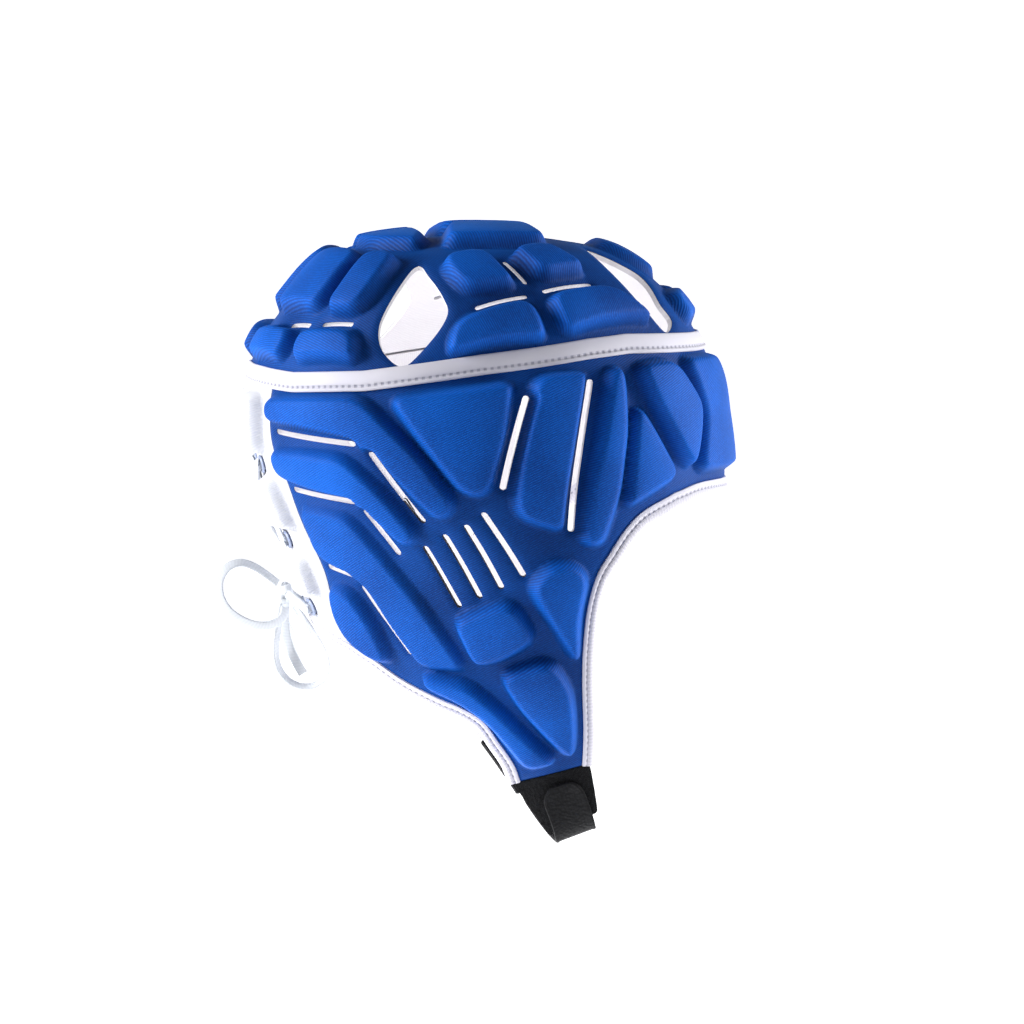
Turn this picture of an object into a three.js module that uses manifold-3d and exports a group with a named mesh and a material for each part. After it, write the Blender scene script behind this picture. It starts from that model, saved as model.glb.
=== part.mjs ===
// Rugby scrum cap, as worn: a crown sheet cut into four petals, a headband tape, two padded
// side panels that reach down over the ears to the chin, two pale panels at the nape that are
// laced together, bound edges, and a chin strap on black hook-and-loop patches.
// Millimetres. The face looks along -Y, the wearer's right is -X, and +Z is up. The origin is
// the top of the hollow inside the crown, where the cap sits on a head.
import * as THREE from "three";
import { mergeVertices } from "three/addons/utils/BufferGeometryUtils.js";
import Module from "manifold-3d";

const wasm = await Module();
wasm.setup();

// Overall form of the web, the thin padded sheet between the pads.
const capLength = 208;
const capWidth = 165;
const capHeight = 260;
const wall = 3;

// Relief, slits and seams.
const padRise = 7;
const padFlank = 4.5;
const padCorner = 5;
const padRoot = 2;
const cornerShare = 0.4;
const padStretch = capLength / 6;
const slitWidth = 2.2;
const crownSlitWidth = 1.6;
const seamGap = 0.3;
const bandGap = 1.2;
const crownSteps = 20;
const crownRings = [0.25, 0.5, 0.76, 1];
const openingSteps = 10;
const laceGapWidth = 7;

// Trim.
const tapeWidth = 8;
const tapeThick = 1.2;
const tapeClearance = 0.45;
const tapeSteps = 48;
const bindThick = 3.8;
const bindShoulder = 0.6;
const bindEdge = 0.35;
const bindTaper = 1.6;
const browBindWidth = 9;
const chinBindWidth = 4.5;
const neckBindWidth = 5;
const patchThick = 2.4;
const strapWidth = 18;
const strapThick = 1.8;
const strapSag = 3;
const strapSteps = 46;
const tabBlunt = 0.12;

// Lacing at the nape.
const laceWidth = 4;
const laceThick = 1.2;
const laceEdge = 0.7;
const laceLift = 2.4;
const laceCross = 1.8;
const holeRadius = 3.4;
const holeSides = 12;
const ringSides = 8;
const eyeletBore = 2.3;
const eyeletBarrel = 2.9;
const eyeletFlange = 3.9;
const flangeThick = 0.7;
const patchRoomReach = 4 * wall;
const knotHalf = { across: 6.5, deep: 4, tall: 4.2 };

// Sections of the outer face of the web. Columns: level, then drop as a share of capHeight,
// front and back reach as shares of capLength, half width as a share of capWidth, and the
// power of the oval's rear half, which is blunt at the skull and pointed at the nape.
const sections = [
  [0.0, 0.0, 0.0, 0.0, 0.0, 2.25],
  [0.25, 0.006, 0.145, 0.172, 0.164, 2.25],
  [0.5, 0.031, 0.27, 0.312, 0.303, 2.25],
  [0.75, 0.1, 0.38, 0.404, 0.424, 2.25],
  [1.0, 0.2, 0.457, 0.485, 0.479, 2.25],
  [1.25, 0.3, 0.481, 0.49, 0.497, 2.25],
  [1.5, 0.4, 0.495, 0.466, 0.5, 2.1],
  [1.75, 0.5, 0.51, 0.423, 0.491, 1.95],
  [2.0, 0.6, 0.519, 0.385, 0.467, 1.8],
  [2.25, 0.7, 0.519, 0.332, 0.43, 1.75],
  [2.5, 0.8, 0.51, 0.284, 0.382, 1.75],
  [2.75, 0.9, 0.49, 0.25, 0.327, 1.75],
  [3.0, 1.0, 0.462, 0.221, 0.267, 1.75],
];
const frontPower = 2.25;

// Flat measures of the sheet: run along one level, and across one degree at the sides.
const levelRun = 0.4 * capHeight;
const degreeRun = ((capWidth / 2) * Math.PI) / 180;

// Places on the sheet are [angle, level]: degrees from the brow round the wearer's right to
// the nape, and the level of the section table.
const bandLine = [
  [0, 0.93], [30, 0.928], [58, 0.92], [69, 0.935], [82, 0.963], [96, 0.99], [110, 1.023],
  [124, 1.055], [145, 1.07], [162, 1.057], [180, 1.05],
];
const seamLine = [
  [157.5, 1.2], [159, 1.36], [156, 1.5], [156.5, 1.68], [154.5, 1.86], [157.5, 2.05], [156, 2.16],
];
const seamTopAngle = 154.5;
const neckLine = [
  [156, 2.16], [148, 2.21], [138, 2.29], [126, 2.36], [120, 2.39], [114, 2.44], [110, 2.53],
  [106, 2.62], [104, 2.7],
];
const browLine = [[14, 1.497], [38, 1.49], [50, 1.52]];
const cheekLine = [
  [50, 1.52], [60, 1.58], [66, 1.65], [71, 1.74], [76, 1.85], [80, 2.03], [83, 2.28], [84, 2.63],
];
const browLevel = 1.5;
const napeLine = [[156, 2.16], [167, 2.12]];
const napeEndLevel = 2.07;
const rearOpening = [
  [118, 0.55], [113, 0.62], [108, 0.72], [106, 0.8], [109, 0.9], [114.5, 0.995], [120, 0.95],
  [123.5, 0.87], [124, 0.78], [121.5, 0.64],
];
const frontOpening = [
  [38, 0.42], [43.5, 0.5], [46, 0.6], [46, 0.71], [44.5, 0.8], [41, 0.883], [34, 0.84], [34.5, 0.77],
  [30, 0.68], [28.5, 0.62], [32.5, 0.55], [36, 0.48],
];

// Pads, each carried through a few cross lines: [angle, level] of one end of the line and
// then of the other. rise is a share of padRise.
const crownPads = [
  { rise: 0.8, lines: [[175, 0.43, 171, 0.21], [148, 0.44, 150, 0.23], [122, 0.44, 128, 0.31]] },
  { rise: 1, lines: [[111, 0.42, 160, 0.13], [90, 0.4, 90, 0.04], [63, 0.42, 25, 0.13]] },
  { rise: 1, lines: [[109.5, 0.545, 93, 0.505], [107, 0.64, 88.5, 0.61], [101, 0.72, 85.5, 0.69]] },
  { rise: 1, lines: [[84, 0.495, 67, 0.465], [80.5, 0.58, 63, 0.54], [77, 0.655, 59.5, 0.625]] },
  { rise: 1, lines: [[102.5, 0.825, 83.5, 0.75], [104.5, 0.89, 80.5, 0.83], [104, 0.962, 80, 0.905]] },
  { rise: 1, lines: [[77.5, 0.735, 57, 0.7], [76.5, 0.82, 50.5, 0.775], [75, 0.89, 47, 0.85]] },
  { rise: 0.9, lines: [[174, 0.52, 142, 0.52], [172.5, 0.66, 143.5, 0.66], [171, 0.82, 146, 0.81]] },
  { rise: 1, lines: [[139, 0.52, 124.5, 0.53], [140.5, 0.66, 127, 0.67], [142, 0.81, 130.5, 0.81]] },
  { rise: 1, lines: [[146, 0.885, 128, 0.875], [145, 1.0, 125.5, 0.99]] },
  { rise: 0.9, lines: [[172, 0.89, 149.5, 0.88], [171, 1.0, 150, 1.0]] },
  { rise: 0.8, lines: [[28, 0.75, 4, 0.735], [28, 0.865, 4, 0.87]] },
];
const browPetalPad = { rise: 0.8, lines: [
  [25, 0.43, -25, 0.43], [26, 0.53, -26, 0.53], [20.5, 0.66, -20.5, 0.66],
] };
const sidePads = [
  { rise: 1, lines: [
    [154.5, 1.13, 155, 1.235], [140, 1.12, 140, 1.245], [124, 1.11, 128, 1.275],
    [112, 1.33, 119.5, 1.43], [105, 1.54, 111, 1.61],
  ] },
  { rise: 1, lines: [
    [157, 1.34, 156.5, 1.45], [143, 1.335, 143, 1.495], [130.5, 1.345, 132, 1.525],
    [122, 1.5, 127, 1.61], [116.5, 1.67, 122, 1.715],
  ] },
  { rise: 1, lines: [
    [152, 1.57, 153, 1.765], [145, 1.565, 146, 1.82], [134.5, 1.59, 138.5, 1.865],
    [128.5, 1.76, 135.5, 1.97], [121.5, 1.94, 133.5, 2.08], [114, 2.215, 128.5, 2.215],
  ] },
  { rise: 0.8, lines: [
    [152, 1.885, 144, 1.895], [154.5, 2.01, 140, 2.0], [153, 2.12, 138.5, 2.12],
    [146, 2.195, 139, 2.21],
  ] },
  { rise: 1, lines: [[118, 1.12, 88.5, 1.055], [111, 1.31, 91.5, 1.28], [104, 1.5, 97.5, 1.5]] },
  { rise: 1, lines: [
    [84, 1.035, 70.5, 1.02], [88, 1.26, 74, 1.25], [92.5, 1.5, 79, 1.5], [92.5, 1.59, 82, 1.655],
  ] },
  { rise: 1, lines: [
    [66, 1.01, 61.5, 1.01], [70.5, 1.28, 62.5, 1.25], [75.5, 1.5, 66.5, 1.5], [79, 1.7, 73.5, 1.71],
  ] },
  { rise: 0.9, lines: [[61, 1.17, 57.5, 1.18], [63.5, 1.36, 53, 1.33], [66.5, 1.57, 49.5, 1.445]] },
  { rise: 1, lines: [
    [58.5, 1.0, 46.5, 0.985], [56, 1.13, 38, 1.17], [51, 1.29, 40.5, 1.3], [47, 1.41, 43.5, 1.41],
  ] },
  { rise: 0.8, lines: [[42, 0.985, 20, 0.98], [37, 1.2, 9, 1.2], [42, 1.44, 5, 1.45]] },
  { rise: 1, lines: [[114, 1.995, 111.5, 2.195], [106, 1.955, 102.5, 2.16], [97.5, 1.915, 93, 2.075]] },
  { rise: 1, lines: [
    [87, 1.765, 81, 1.77], [93.5, 1.865, 78, 1.83], [89.5, 2.02, 81.5, 1.99], [85.5, 2.16, 83.2, 2.16],
  ] },
  { rise: 1, lines: [
    [105.5, 2.225, 91, 2.155], [102, 2.36, 86.5, 2.27], [96.5, 2.47, 86.3, 2.42],
    [90.5, 2.57, 87, 2.57],
  ] },
  { rise: 0.9, lines: [
    [129, 2.235, 129, 2.295], [115, 2.26, 119.5, 2.35], [107, 2.37, 112.5, 2.425],
    [100, 2.49, 107, 2.53], [91.5, 2.6, 101.5, 2.64],
  ] },
];
const napePads = [
  { rise: 1, lines: [[175, 1.13, 160.5, 1.13], [175, 1.25, 162.5, 1.25], [175, 1.37, 165, 1.37]] },
  { rise: 0.9, lines: [
    [174.5, 1.48, 162.5, 1.465], [174.5, 1.57, 160.5, 1.57], [174.5, 1.675, 160, 1.675],
  ] },
  { rise: 0.8, lines: [[174.5, 1.8, 162, 1.79], [174, 1.88, 160.5, 1.88], [171, 1.955, 161, 1.965]] },
];

// Slits, cut through the web between the pads: both ends of each.
const crownSlits = [
  [157, 0.855, 148, 0.85], [142, 0.845, 132.5, 0.84], [86, 0.53, 82, 0.65], [98, 0.77, 83.5, 0.72],
  [77, 0.695, 60.5, 0.665],
];
const sideSlits = [
  [154, 1.275, 128.5, 1.305], [124, 1.345, 115.5, 1.605], [153, 1.51, 133, 1.54],
  [130, 1.58, 125, 1.74],
  [151, 1.825, 143, 1.85], [140, 1.9, 132, 2.16], [86, 1.12, 94.2, 1.47], [70, 1.06, 80, 1.64],
  [117, 1.72, 112, 1.95], [111, 1.67, 106, 1.91], [105, 1.63, 100, 1.87], [100, 1.58, 94, 1.82],
];
const laceHoles = [[172, 1.425], [172, 1.737], [171.5, 2.02]];

// The black patch that ends each side panel, the tab of the strap on it, and the knot.
const chinEdge = { front: cheekLine.at(-1), rear: neckLine.at(-1) };
const patchEnd = { front: [78, 2.84], rear: [94, 2.94] };
const patchOverhang = 3;
const tabLine = [[91.5, 2.71], [89, 2.79], [86.5, 2.87]];
const tabFold = [85.2, 2.918];
const knotLevel = 1.95;
const knotHeight = 6;

// Routes of the free lace from the knot, in millimetres from its middle: across to the
// wearer's left, back, and up.
const upperLoop = [
  [2, 3.4, 3.4], [2, 8, 7], [1, 13.5, 10.8], [0, 19.5, 12.8], [-1, 25, 11.2], [-2, 28.6, 6.2],
  [-3, 28.8, -0.8],
  [-4, 25.4, -7.2], [-4.5, 19.2, -11.8], [-5, 12.4, -14], [-5, 6.2, -13.4], [-5, 2, -10.4],
  [-5, 0.8, -6.2],
];
const lowerLoop = [
  [0, 1.4, -5.4], [0, 2.6, -11], [-1, 4, -18.8], [-1.5, 4.8, -26.5], [-2, 3.4, -33.4],
  [-2.5, -0.5, -38.6], [-3, -6, -41.2],
  [-3.5, -11.6, -40.8], [-4, -16, -37.4], [-4, -17.4, -31.6], [-3.5, -15.4, -25], [-2.5, -11.6, -18.2],
  [-1, -7.2, -11.4],
  [0, -3.4, -6.4],
];
const rightEnd = [
  [3.4, 0, -4.2], [4.4, 0.4, -11], [3.6, 0, -18], [2, -1.6, -25], [0.4, -4.2, -31], [-1, -7, -36],
];
const leftEnd = [
  [8, 0, -3.2], [12, 1, -8], [16, 0, -14.5], [19, -3, -21], [21, -6.5, -27.5], [22.5, -9, -33],
];

const colours = {
  blue: { color: 0x0a4fc0, roughness: 0.85, metalness: 0 },
  white: { color: 0xeceaf0, roughness: 0.8, metalness: 0 },
  binding: { color: 0xdedce4, roughness: 0.9, metalness: 0 },
  black: { color: 0x1c1d20, roughness: 0.95, metalness: 0 },
  eyelet: { color: 0x98a2bd, roughness: 0.5, metalness: 0 },
};

const cap = new THREE.Group();

function addPiece(name, geometry, finish) {
  geometry.computeVertexNormals();
  const mesh = new THREE.Mesh(geometry, new THREE.MeshStandardMaterial(finish));
  mesh.name = name;
  cap.add(mesh);
}

// Value of one column of the section table at a level, on a smooth curve through the rows
// that is mirrored at the apex, so that the crown closes round.
function sectionValue(level, column, sign) {
  const last = sections.length - 1;
  const [end, beforeEnd] = [sections[last], sections[last - 1]];
  const row = (i) => {
    if (i < 0) return [-sections[-i][0], sign * sections[-i][column]];
    if (i > last) return [2 * end[0] - beforeEnd[0], 2 * end[column] - beforeEnd[column]];
    return [sections[i][0], sections[i][column]];
  };
  let i = 0;
  while (i < last - 1 && level >= sections[i + 1][0]) i += 1;
  const [[, p0], [t1, p1], [t2, p2], [, p3]] = [row(i - 1), row(i), row(i + 1), row(i + 2)];
  const u = (level - t1) / (t2 - t1);
  const [m1, m2] = [(p2 - p0) / 2, (p3 - p1) / 2];
  const [u2, u3] = [u * u, u * u * u];
  return (2 * u3 - 3 * u2 + 1) * p1 + (u3 - 2 * u2 + u) * m1 + (3 * u2 - 2 * u3) * p2 + (u3 - u2) * m2;
}

function outerPoint(angle, level) {
  const [sine, cosine] = [Math.sin((angle * Math.PI) / 180), Math.cos((angle * Math.PI) / 180)];
  const drop = sectionValue(level, 1, 1) * capHeight;
  const front = sectionValue(level, 2, -1) * capLength;
  const back = sectionValue(level, 3, -1) * capLength;
  const side = sectionValue(level, 4, -1) * capWidth;
  const power = cosine < 0 ? sectionValue(level, 5, 1) : frontPower;
  const reach = (Math.abs(cosine) ** power + Math.abs(sine) ** power) ** (-1 / power);
  const y = (back - front) / 2 - ((back + front) / 2) * reach * cosine;
  return new THREE.Vector3(-side * reach * sine, y, wall - drop);
}

function outwardAt(angle, level) {
  const [turn, step] = [0.5, 0.01];
  if (level < 2 * step) return new THREE.Vector3(0, 0, 1);
  const around = outerPoint(angle + turn, level).sub(outerPoint(angle - turn, level));
  const down = outerPoint(angle, level + step).sub(outerPoint(angle, level - step));
  return around.cross(down).normalize();
}

// A point of the sheet at a height over its outer face.
function sheetPoint([angle, level], height) {
  return outerPoint(angle, level).addScaledVector(outwardAt(angle, level), height);
}

function levelAt(line, angle) {
  const at = Math.min(Math.abs(angle), line.at(-1)[0]);
  let i = 0;
  while (i < line.length - 2 && at > line[i + 1][0]) i += 1;
  const share = (at - line[i][0]) / (line[i + 1][0] - line[i][0]);
  return THREE.MathUtils.lerp(line[i][1], line[i + 1][1], share);
}

// Evenly spaced places on a smooth curve through a list of places.
function placesAlong(places, steps) {
  const flat = places.map(([angle, level]) => new THREE.Vector2(angle * degreeRun, level * levelRun));
  return new THREE.SplineCurve(flat).getSpacedPoints(steps).map((p) => [p.x / degreeRun, p.y / levelRun]);
}

function geometryOf(points, faces) {
  const geometry = new THREE.BufferGeometry();
  const values = points.flatMap((p) => p.toArray());
  geometry.setAttribute("position", new THREE.Float32BufferAttribute(values, 3));
  geometry.setIndex(faces.flat());
  return volumeOf(geometry) < 0 ? turnedOver(geometry) : geometry;
}

function volumeOf(geometry) {
  const { position } = geometry.attributes;
  const index = geometry.index.array;
  const [a, b, c] = [new THREE.Vector3(), new THREE.Vector3(), new THREE.Vector3()];
  let volume = 0;
  for (let i = 0; i < index.length; i += 3) {
    a.fromBufferAttribute(position, index[i]);
    b.fromBufferAttribute(position, index[i + 1]);
    c.fromBufferAttribute(position, index[i + 2]);
    volume += a.dot(b.cross(c)) / 6;
  }
  return volume;
}

function turnedOver(geometry) {
  const index = Array.from(geometry.index.array);
  for (let i = 0; i < index.length; i += 3) [index[i], index[i + 1]] = [index[i + 1], index[i]];
  geometry.setIndex(index);
  return geometry;
}

function mirrored(geometry) {
  const copy = geometry.clone();
  copy.scale(-1, 1, 1);
  return turnedOver(copy);
}

// Triangles across a ring of points, from rung to rung between its two long sides.
function rungs(ring, flip) {
  const faces = [];
  const last = ring.length - 1;
  for (let i = 0; i < last - 1 - i; i += 1) {
    const [a, b, c, d] = [ring[i], ring[i + 1], ring[last - 1 - i], ring[last - i]];
    const quad = b === c ? [[a, b, d]] : [[a, b, d], [b, c, d]];
    faces.push(...quad.map(([p, q, r]) => (flip ? [p, r, q] : [p, q, r])));
  }
  return faces;
}

// A solid carried through rings of as many points each. A closed one joins its last ring
// to its first.
function loft(rings, closed = false) {
  const count = rings[0].length;
  const faces = [];
  const spans = closed ? rings.length : rings.length - 1;
  for (let i = 0; i < spans; i += 1) {
    const [from, to] = [i * count, ((i + 1) % rings.length) * count];
    for (let j = 0; j < count; j += 1) {
      const k = (j + 1) % count;
      faces.push([from + j, from + k, to + j], [from + k, to + k, to + j]);
    }
  }
  if (!closed) {
    const indices = Array.from({ length: count }, (_, j) => j);
    faces.push(...rungs(indices, true));
    faces.push(...rungs(indices.map((j) => j + (rings.length - 1) * count), false));
  }
  return geometryOf(rings.flat(), faces);
}

// A closed shell of the web over cells of places. Each cell lists its places in order, seen
// from outside, and every free side of a cell is closed by a wall.
function webShell(places, cells) {
  const count = places.length;
  const layer = (height) => places.map((place) => sheetPoint(place, height));
  const points = [...layer(0), ...layer(-wall)];
  const sides = cells.flatMap((cell) => cell.map((a, i) => [a, cell[(i + 1) % cell.length]]));
  const shared = new Set(sides.map(([a, b]) => `${b} ${a}`));
  const fan = (cell) => cell.slice(2).map((c, i) => [cell[0], cell[i + 1], c]);
  const free = sides.filter(([a, b]) => !shared.has(`${a} ${b}`));
  return geometryOf(points, [
    ...cells.flatMap(fan),
    ...cells.flatMap((cell) => fan(cell.map((i) => i + count).reverse())),
    ...free.flatMap(([a, b]) => [[b, a, a + count], [b, a + count, b + count]]),
  ]);
}

// The shell over rows of places. A row may start later than the one above it, at column
// first of the grid.
function rowShell(rows) {
  const places = [];
  const index = rows.map(({ row }) => row.map((place) => places.push(place) - 1));
  const at = (i, j) => index[i][j - rows[i].first];
  const cells = [];
  for (let i = 0; i < rows.length - 1; i += 1) {
    for (let j = rows[i + 1].first; j < rows[i].first + rows[i].row.length - 1; j += 1) {
      cells.push([at(i, j), at(i, j + 1), at(i + 1, j + 1), at(i + 1, j)]);
    }
  }
  return webShell(places, cells);
}

// Two flat layouts of the sheet in millimetres: the crown opens round its apex, and the
// sides unroll.
const crownLayout = {
  flat: ([angle, level]) => {
    const turn = (angle * Math.PI) / 180;
    return new THREE.Vector2(Math.sin(turn), Math.cos(turn)).multiplyScalar(level * levelRun);
  },
  place: (p) => [(Math.atan2(p.x, p.y) * 180) / Math.PI, p.length() / levelRun],
};
const sideLayout = {
  flat: ([angle, level]) => new THREE.Vector2(angle * degreeRun, level * levelRun),
  place: (p) => [p.x / degreeRun, p.y / levelRun],
};

// Outline of a pad on the flat layout: down one side and back up the other, with cut corners.
// Stretches longer than padStretch are split, so that the pad follows the sheet.
function padOutline(lines, layout) {
  const rails = lines.map(([a, b, c, d]) => [layout.flat([a, b]), layout.flat([c, d])]);
  const near = (p, q) => p.clone().lerp(q, Math.min(cornerShare, padCorner / p.distanceTo(q)));
  const rows = rails.flatMap((rail, i) => {
    if (i === 0) return [rail];
    const before = rails[i - 1];
    const stretch = Math.max(before[0].distanceTo(rail[0]), before[1].distanceTo(rail[1]));
    const spans = Math.ceil(stretch / padStretch);
    const row = (share) => [0, 1].map((k) => before[k].clone().lerp(rail[k], share));
    return Array.from({ length: spans }, (_, s) => row((s + 1) / spans));
  });
  const across = (row) => [near(row[0], row[1]), near(row[1], row[0])];
  const towards = (row, next) => [near(row[0], next[0]), near(row[1], next[1])];
  const [first, second, last, previous] = [rows[0], rows[1], rows.at(-1), rows.at(-2)];
  const all = [
    across(first), towards(first, second), ...rows.slice(1, -1), towards(last, previous), across(last),
  ];
  return [...all.map((row) => row[0]), ...all.map((row) => row[1]).reverse()];
}

function movedIn(outline, distance) {
  const area = outline.reduce((sum, p, i) => sum + p.cross(outline[(i + 1) % outline.length]), 0);
  return outline.map((p, i) => {
    const before = p.clone().sub(outline.at(i - 1)).normalize();
    const after = outline[(i + 1) % outline.length].clone().sub(p).normalize();
    const along = before.add(after).normalize();
    return p.clone().addScaledVector(new THREE.Vector2(-along.y, along.x), Math.sign(area) * distance);
  });
}

function padSolid({ rise, lines }, layout) {
  const outline = padOutline(lines, layout);
  const ring = (flat, height) => flat.map((p) => sheetPoint(layout.place(p), height));
  return loft([ring(outline, -padRoot), ring(movedIn(outline, padFlank), rise * padRise)]);
}

// A cutter through the sheet over a flat outline, clear of the web and the pads.
function cutter(outline, layout, low = -3 * wall, high = 2 * padRise) {
  const ring = (height) => outline.map((p) => sheetPoint(layout.place(p), height));
  return loft([ring(low), ring(high)]);
}

function slitCutter([a, b, c, d], width, layout) {
  const [from, to] = [layout.flat([a, b]), layout.flat([c, d])];
  const along = to.clone().sub(from).normalize().multiplyScalar(width / 2);
  const across = new THREE.Vector2(-along.y, along.x);
  const corner = (p, on, side) => p.clone().addScaledVector(along, on).addScaledVector(across, side);
  return cutter([corner(from, -1, 1), corner(to, 1, 1), corner(to, 1, -1), corner(from, -1, -1)], layout);
}

function openingCutter(places) {
  const curve = new THREE.SplineCurve([...places, places[0]].map(crownLayout.flat));
  return cutter(curve.getSpacedPoints(openingSteps).slice(0, -1), crownLayout);
}

function solidOf(geometry) {
  const plain = geometry.clone();
  plain.deleteAttribute("normal");
  plain.deleteAttribute("uv");
  const merged = mergeVertices(plain, 1e-5);
  return new wasm.Manifold(new wasm.Mesh({
    numProp: 3,
    vertProperties: new Float32Array(merged.attributes.position.array),
    triVerts: new Uint32Array(merged.index.array),
  }));
}

function geometryFrom(solid) {
  const { vertProperties, triVerts } = solid.getMesh();
  const geometry = new THREE.BufferGeometry();
  geometry.setAttribute("position", new THREE.BufferAttribute(vertProperties, 3));
  geometry.setIndex(new THREE.BufferAttribute(triVerts, 1));
  return geometry;
}

function joined(base, additions, cuts) {
  const whole = additions.reduce((solid, piece) => solid.add(solidOf(piece)), solidOf(base));
  return geometryFrom(cuts.reduce((solid, piece) => solid.subtract(solidOf(piece)), whole));
}

const bandLevel = (angle) => levelAt(bandLine, angle);

// Angles evenly round the cap, from the brow over the right and back along the left.
function fullTurn(steps) {
  return Array.from({ length: steps }, (_, i) => ((i > steps / 2 ? i - steps : i) * 360) / steps);
}

// The headband tape, a ring that lies over the seam between the crown and the sides.
function headbandTape() {
  const half = tapeWidth / 2 / levelRun;
  return loft(fullTurn(tapeSteps).map((angle) => {
    const level = bandLevel(angle);
    const corner = (side, height) => sheetPoint([angle, level + side * half], height);
    const [low, high] = [tapeClearance, tapeClearance + tapeThick];
    return [corner(-1, low), corner(-1, high), corner(1, high), corner(1, low)];
  }), true);
}

const mirroredPlaces = (list) => list.map((values) => values.map((value, i) => (i % 2 ? value : -value)));

function crown() {
  const edge = bandGap / 2 / levelRun;
  const ring = (share) => fullTurn(crownSteps).map((angle) => [angle, share * (bandLevel(angle) - edge)]);
  const places = [[0, 0], ...crownRings.flatMap(ring)];
  const cells = [];
  for (let j = 0; j < crownSteps; j += 1) {
    const k = (j + 1) % crownSteps;
    cells.push([0, 1 + k, 1 + j]);
    for (let i = 1; i < crownRings.length; i += 1) {
      const [low, high] = [1 + i * crownSteps, 1 + (i - 1) * crownSteps];
      cells.push([high + j, high + k, low + k, low + j]);
    }
  }
  const pads = crownPads.flatMap((pad) => {
    const solid = padSolid(pad, crownLayout);
    return [solid, mirrored(solid)];
  });
  const slits = crownSlits.map((slit) => slitCutter(slit, crownSlitWidth, crownLayout));
  const openings = [rearOpening, frontOpening].map(openingCutter);
  const cuts = [...slits, ...openings].flatMap((cut) => [cut, mirrored(cut)]);
  return joined(webShell(places, cells), [...pads, padSolid(browPetalPad, crownLayout)], cuts);
}

// The edges of the side panel, as places that its neighbours share. Its first rows start at
// the middle of the brow, and the rows below the brow start at the side of the face.
const halfSeam = seamGap / 2 / degreeRun;
const topEdge = (angle) => [angle, bandLevel(angle) + bandGap / 2 / levelRun];
const seamEdge = [topEdge(seamTopAngle), ...seamLine];
const browRow = 3;
const browColumns = 3;
const cheekColumns = 5;
const neckRows = 6;
const neckEdge = placesAlong(neckLine, neckRows);
const browEdge = placesAlong([[halfSeam, browLevel], ...browLine], browColumns);
const cheekEdge = placesAlong(cheekLine, seamEdge.length - 1 - browRow + neckRows);

function between(from, to, steps) {
  const at = (share) => from.map((value, k) => THREE.MathUtils.lerp(value, to[k], share));
  return Array.from({ length: steps + 1 }, (_, j) => at(j / steps));
}

function sidePanel() {
  const rearEdge = [...seamEdge, ...neckEdge.slice(1)];
  const browEnd = browEdge.at(-1);
  const tops = [
    ...between([halfSeam], [browEnd[0]], browColumns),
    ...between([browEnd[0]], [seamTopAngle], cheekColumns).slice(1),
  ].map(([angle]) => topEdge(angle));
  const lastFullRow = [...browEdge.slice(0, -1), ...between(browEnd, rearEdge[browRow], cheekColumns)];
  const fullRow = (i) => {
    const row = tops.map((place, j) => between(place, lastFullRow[j], browRow)[i]);
    return { first: 0, row: [...row.slice(0, -1), rearEdge[i]] };
  };
  const full = Array.from({ length: browRow }, (_, i) => fullRow(i));
  const short = cheekEdge.slice(1).map((place, i) => (
    { first: browColumns, row: between(place, rearEdge[browRow + 1 + i], cheekColumns) }
  ));
  const pads = sidePads.map((pad) => padSolid(pad, sideLayout));
  const slits = sideSlits.map((slit) => slitCutter(slit, slitWidth, sideLayout));
  return joined(rowShell([...full, { first: 0, row: lastFullRow }, ...short]), pads, slits);
}

const gapAngle = 180 - laceGapWidth / 2 / ((capLength / 2) * (Math.PI / 180));
const napeColumns = 3;
const napeEdge = placesAlong([...napeLine, [gapAngle, napeEndLevel]], napeColumns);

function holeCutter([angle, level], radius) {
  const centre = sideLayout.flat([angle, level]);
  const outline = Array.from({ length: holeSides }, (_, i) => {
    const turn = (i * 2 * Math.PI) / holeSides;
    return new THREE.Vector2(Math.cos(turn), Math.sin(turn)).multiplyScalar(radius).add(centre);
  });
  return cutter(outline, sideLayout);
}

function napePanel() {
  const away = seamGap / degreeRun;
  const last = seamEdge.length - 1;
  const rows = seamEdge.map(([angle, level], i) => {
    const middle = [gapAngle, THREE.MathUtils.lerp(topEdge(gapAngle)[1], napeEndLevel, i / last)];
    return { first: 0, row: between([angle + away, level], middle, napeColumns) };
  });
  rows[0].row = rows[0].row.map(([angle]) => topEdge(angle));
  rows[last].row = napeEdge.map(([angle, level], i) => [i === 0 ? angle + away : angle, level]);
  const pads = napePads.map((pad) => padSolid(pad, sideLayout));
  return joined(rowShell(rows), pads, laceHoles.map((hole) => holeCutter(hole, holeRadius)));
}

// A bound edge beyond a list of places, on the right of one who walks along them outside.
function bindingAlong(places, widths) {
  const rings = places.map((place, i) => {
    const base = sheetPoint(place, -wall / 2);
    const normal = outwardAt(...place);
    const ahead = sheetPoint(places[Math.min(i + 1, places.length - 1)], -wall / 2);
    const behind = sheetPoint(places[Math.max(i - 1, 0)], -wall / 2);
    const outside = ahead.sub(behind).normalize().cross(normal);
    const [width, half] = [widths[i], bindThick / 2];
    const profile = [
      [seamGap, 1], [bindShoulder * width, 1], [width, bindEdge],
      [width, -bindEdge], [bindShoulder * width, -1], [seamGap, -1],
    ];
    const corner = (out, up) => base.clone().addScaledVector(outside, out).addScaledVector(normal, up);
    return profile.map(([out, up]) => corner(out, up * half));
  });
  return loft(rings);
}

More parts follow.
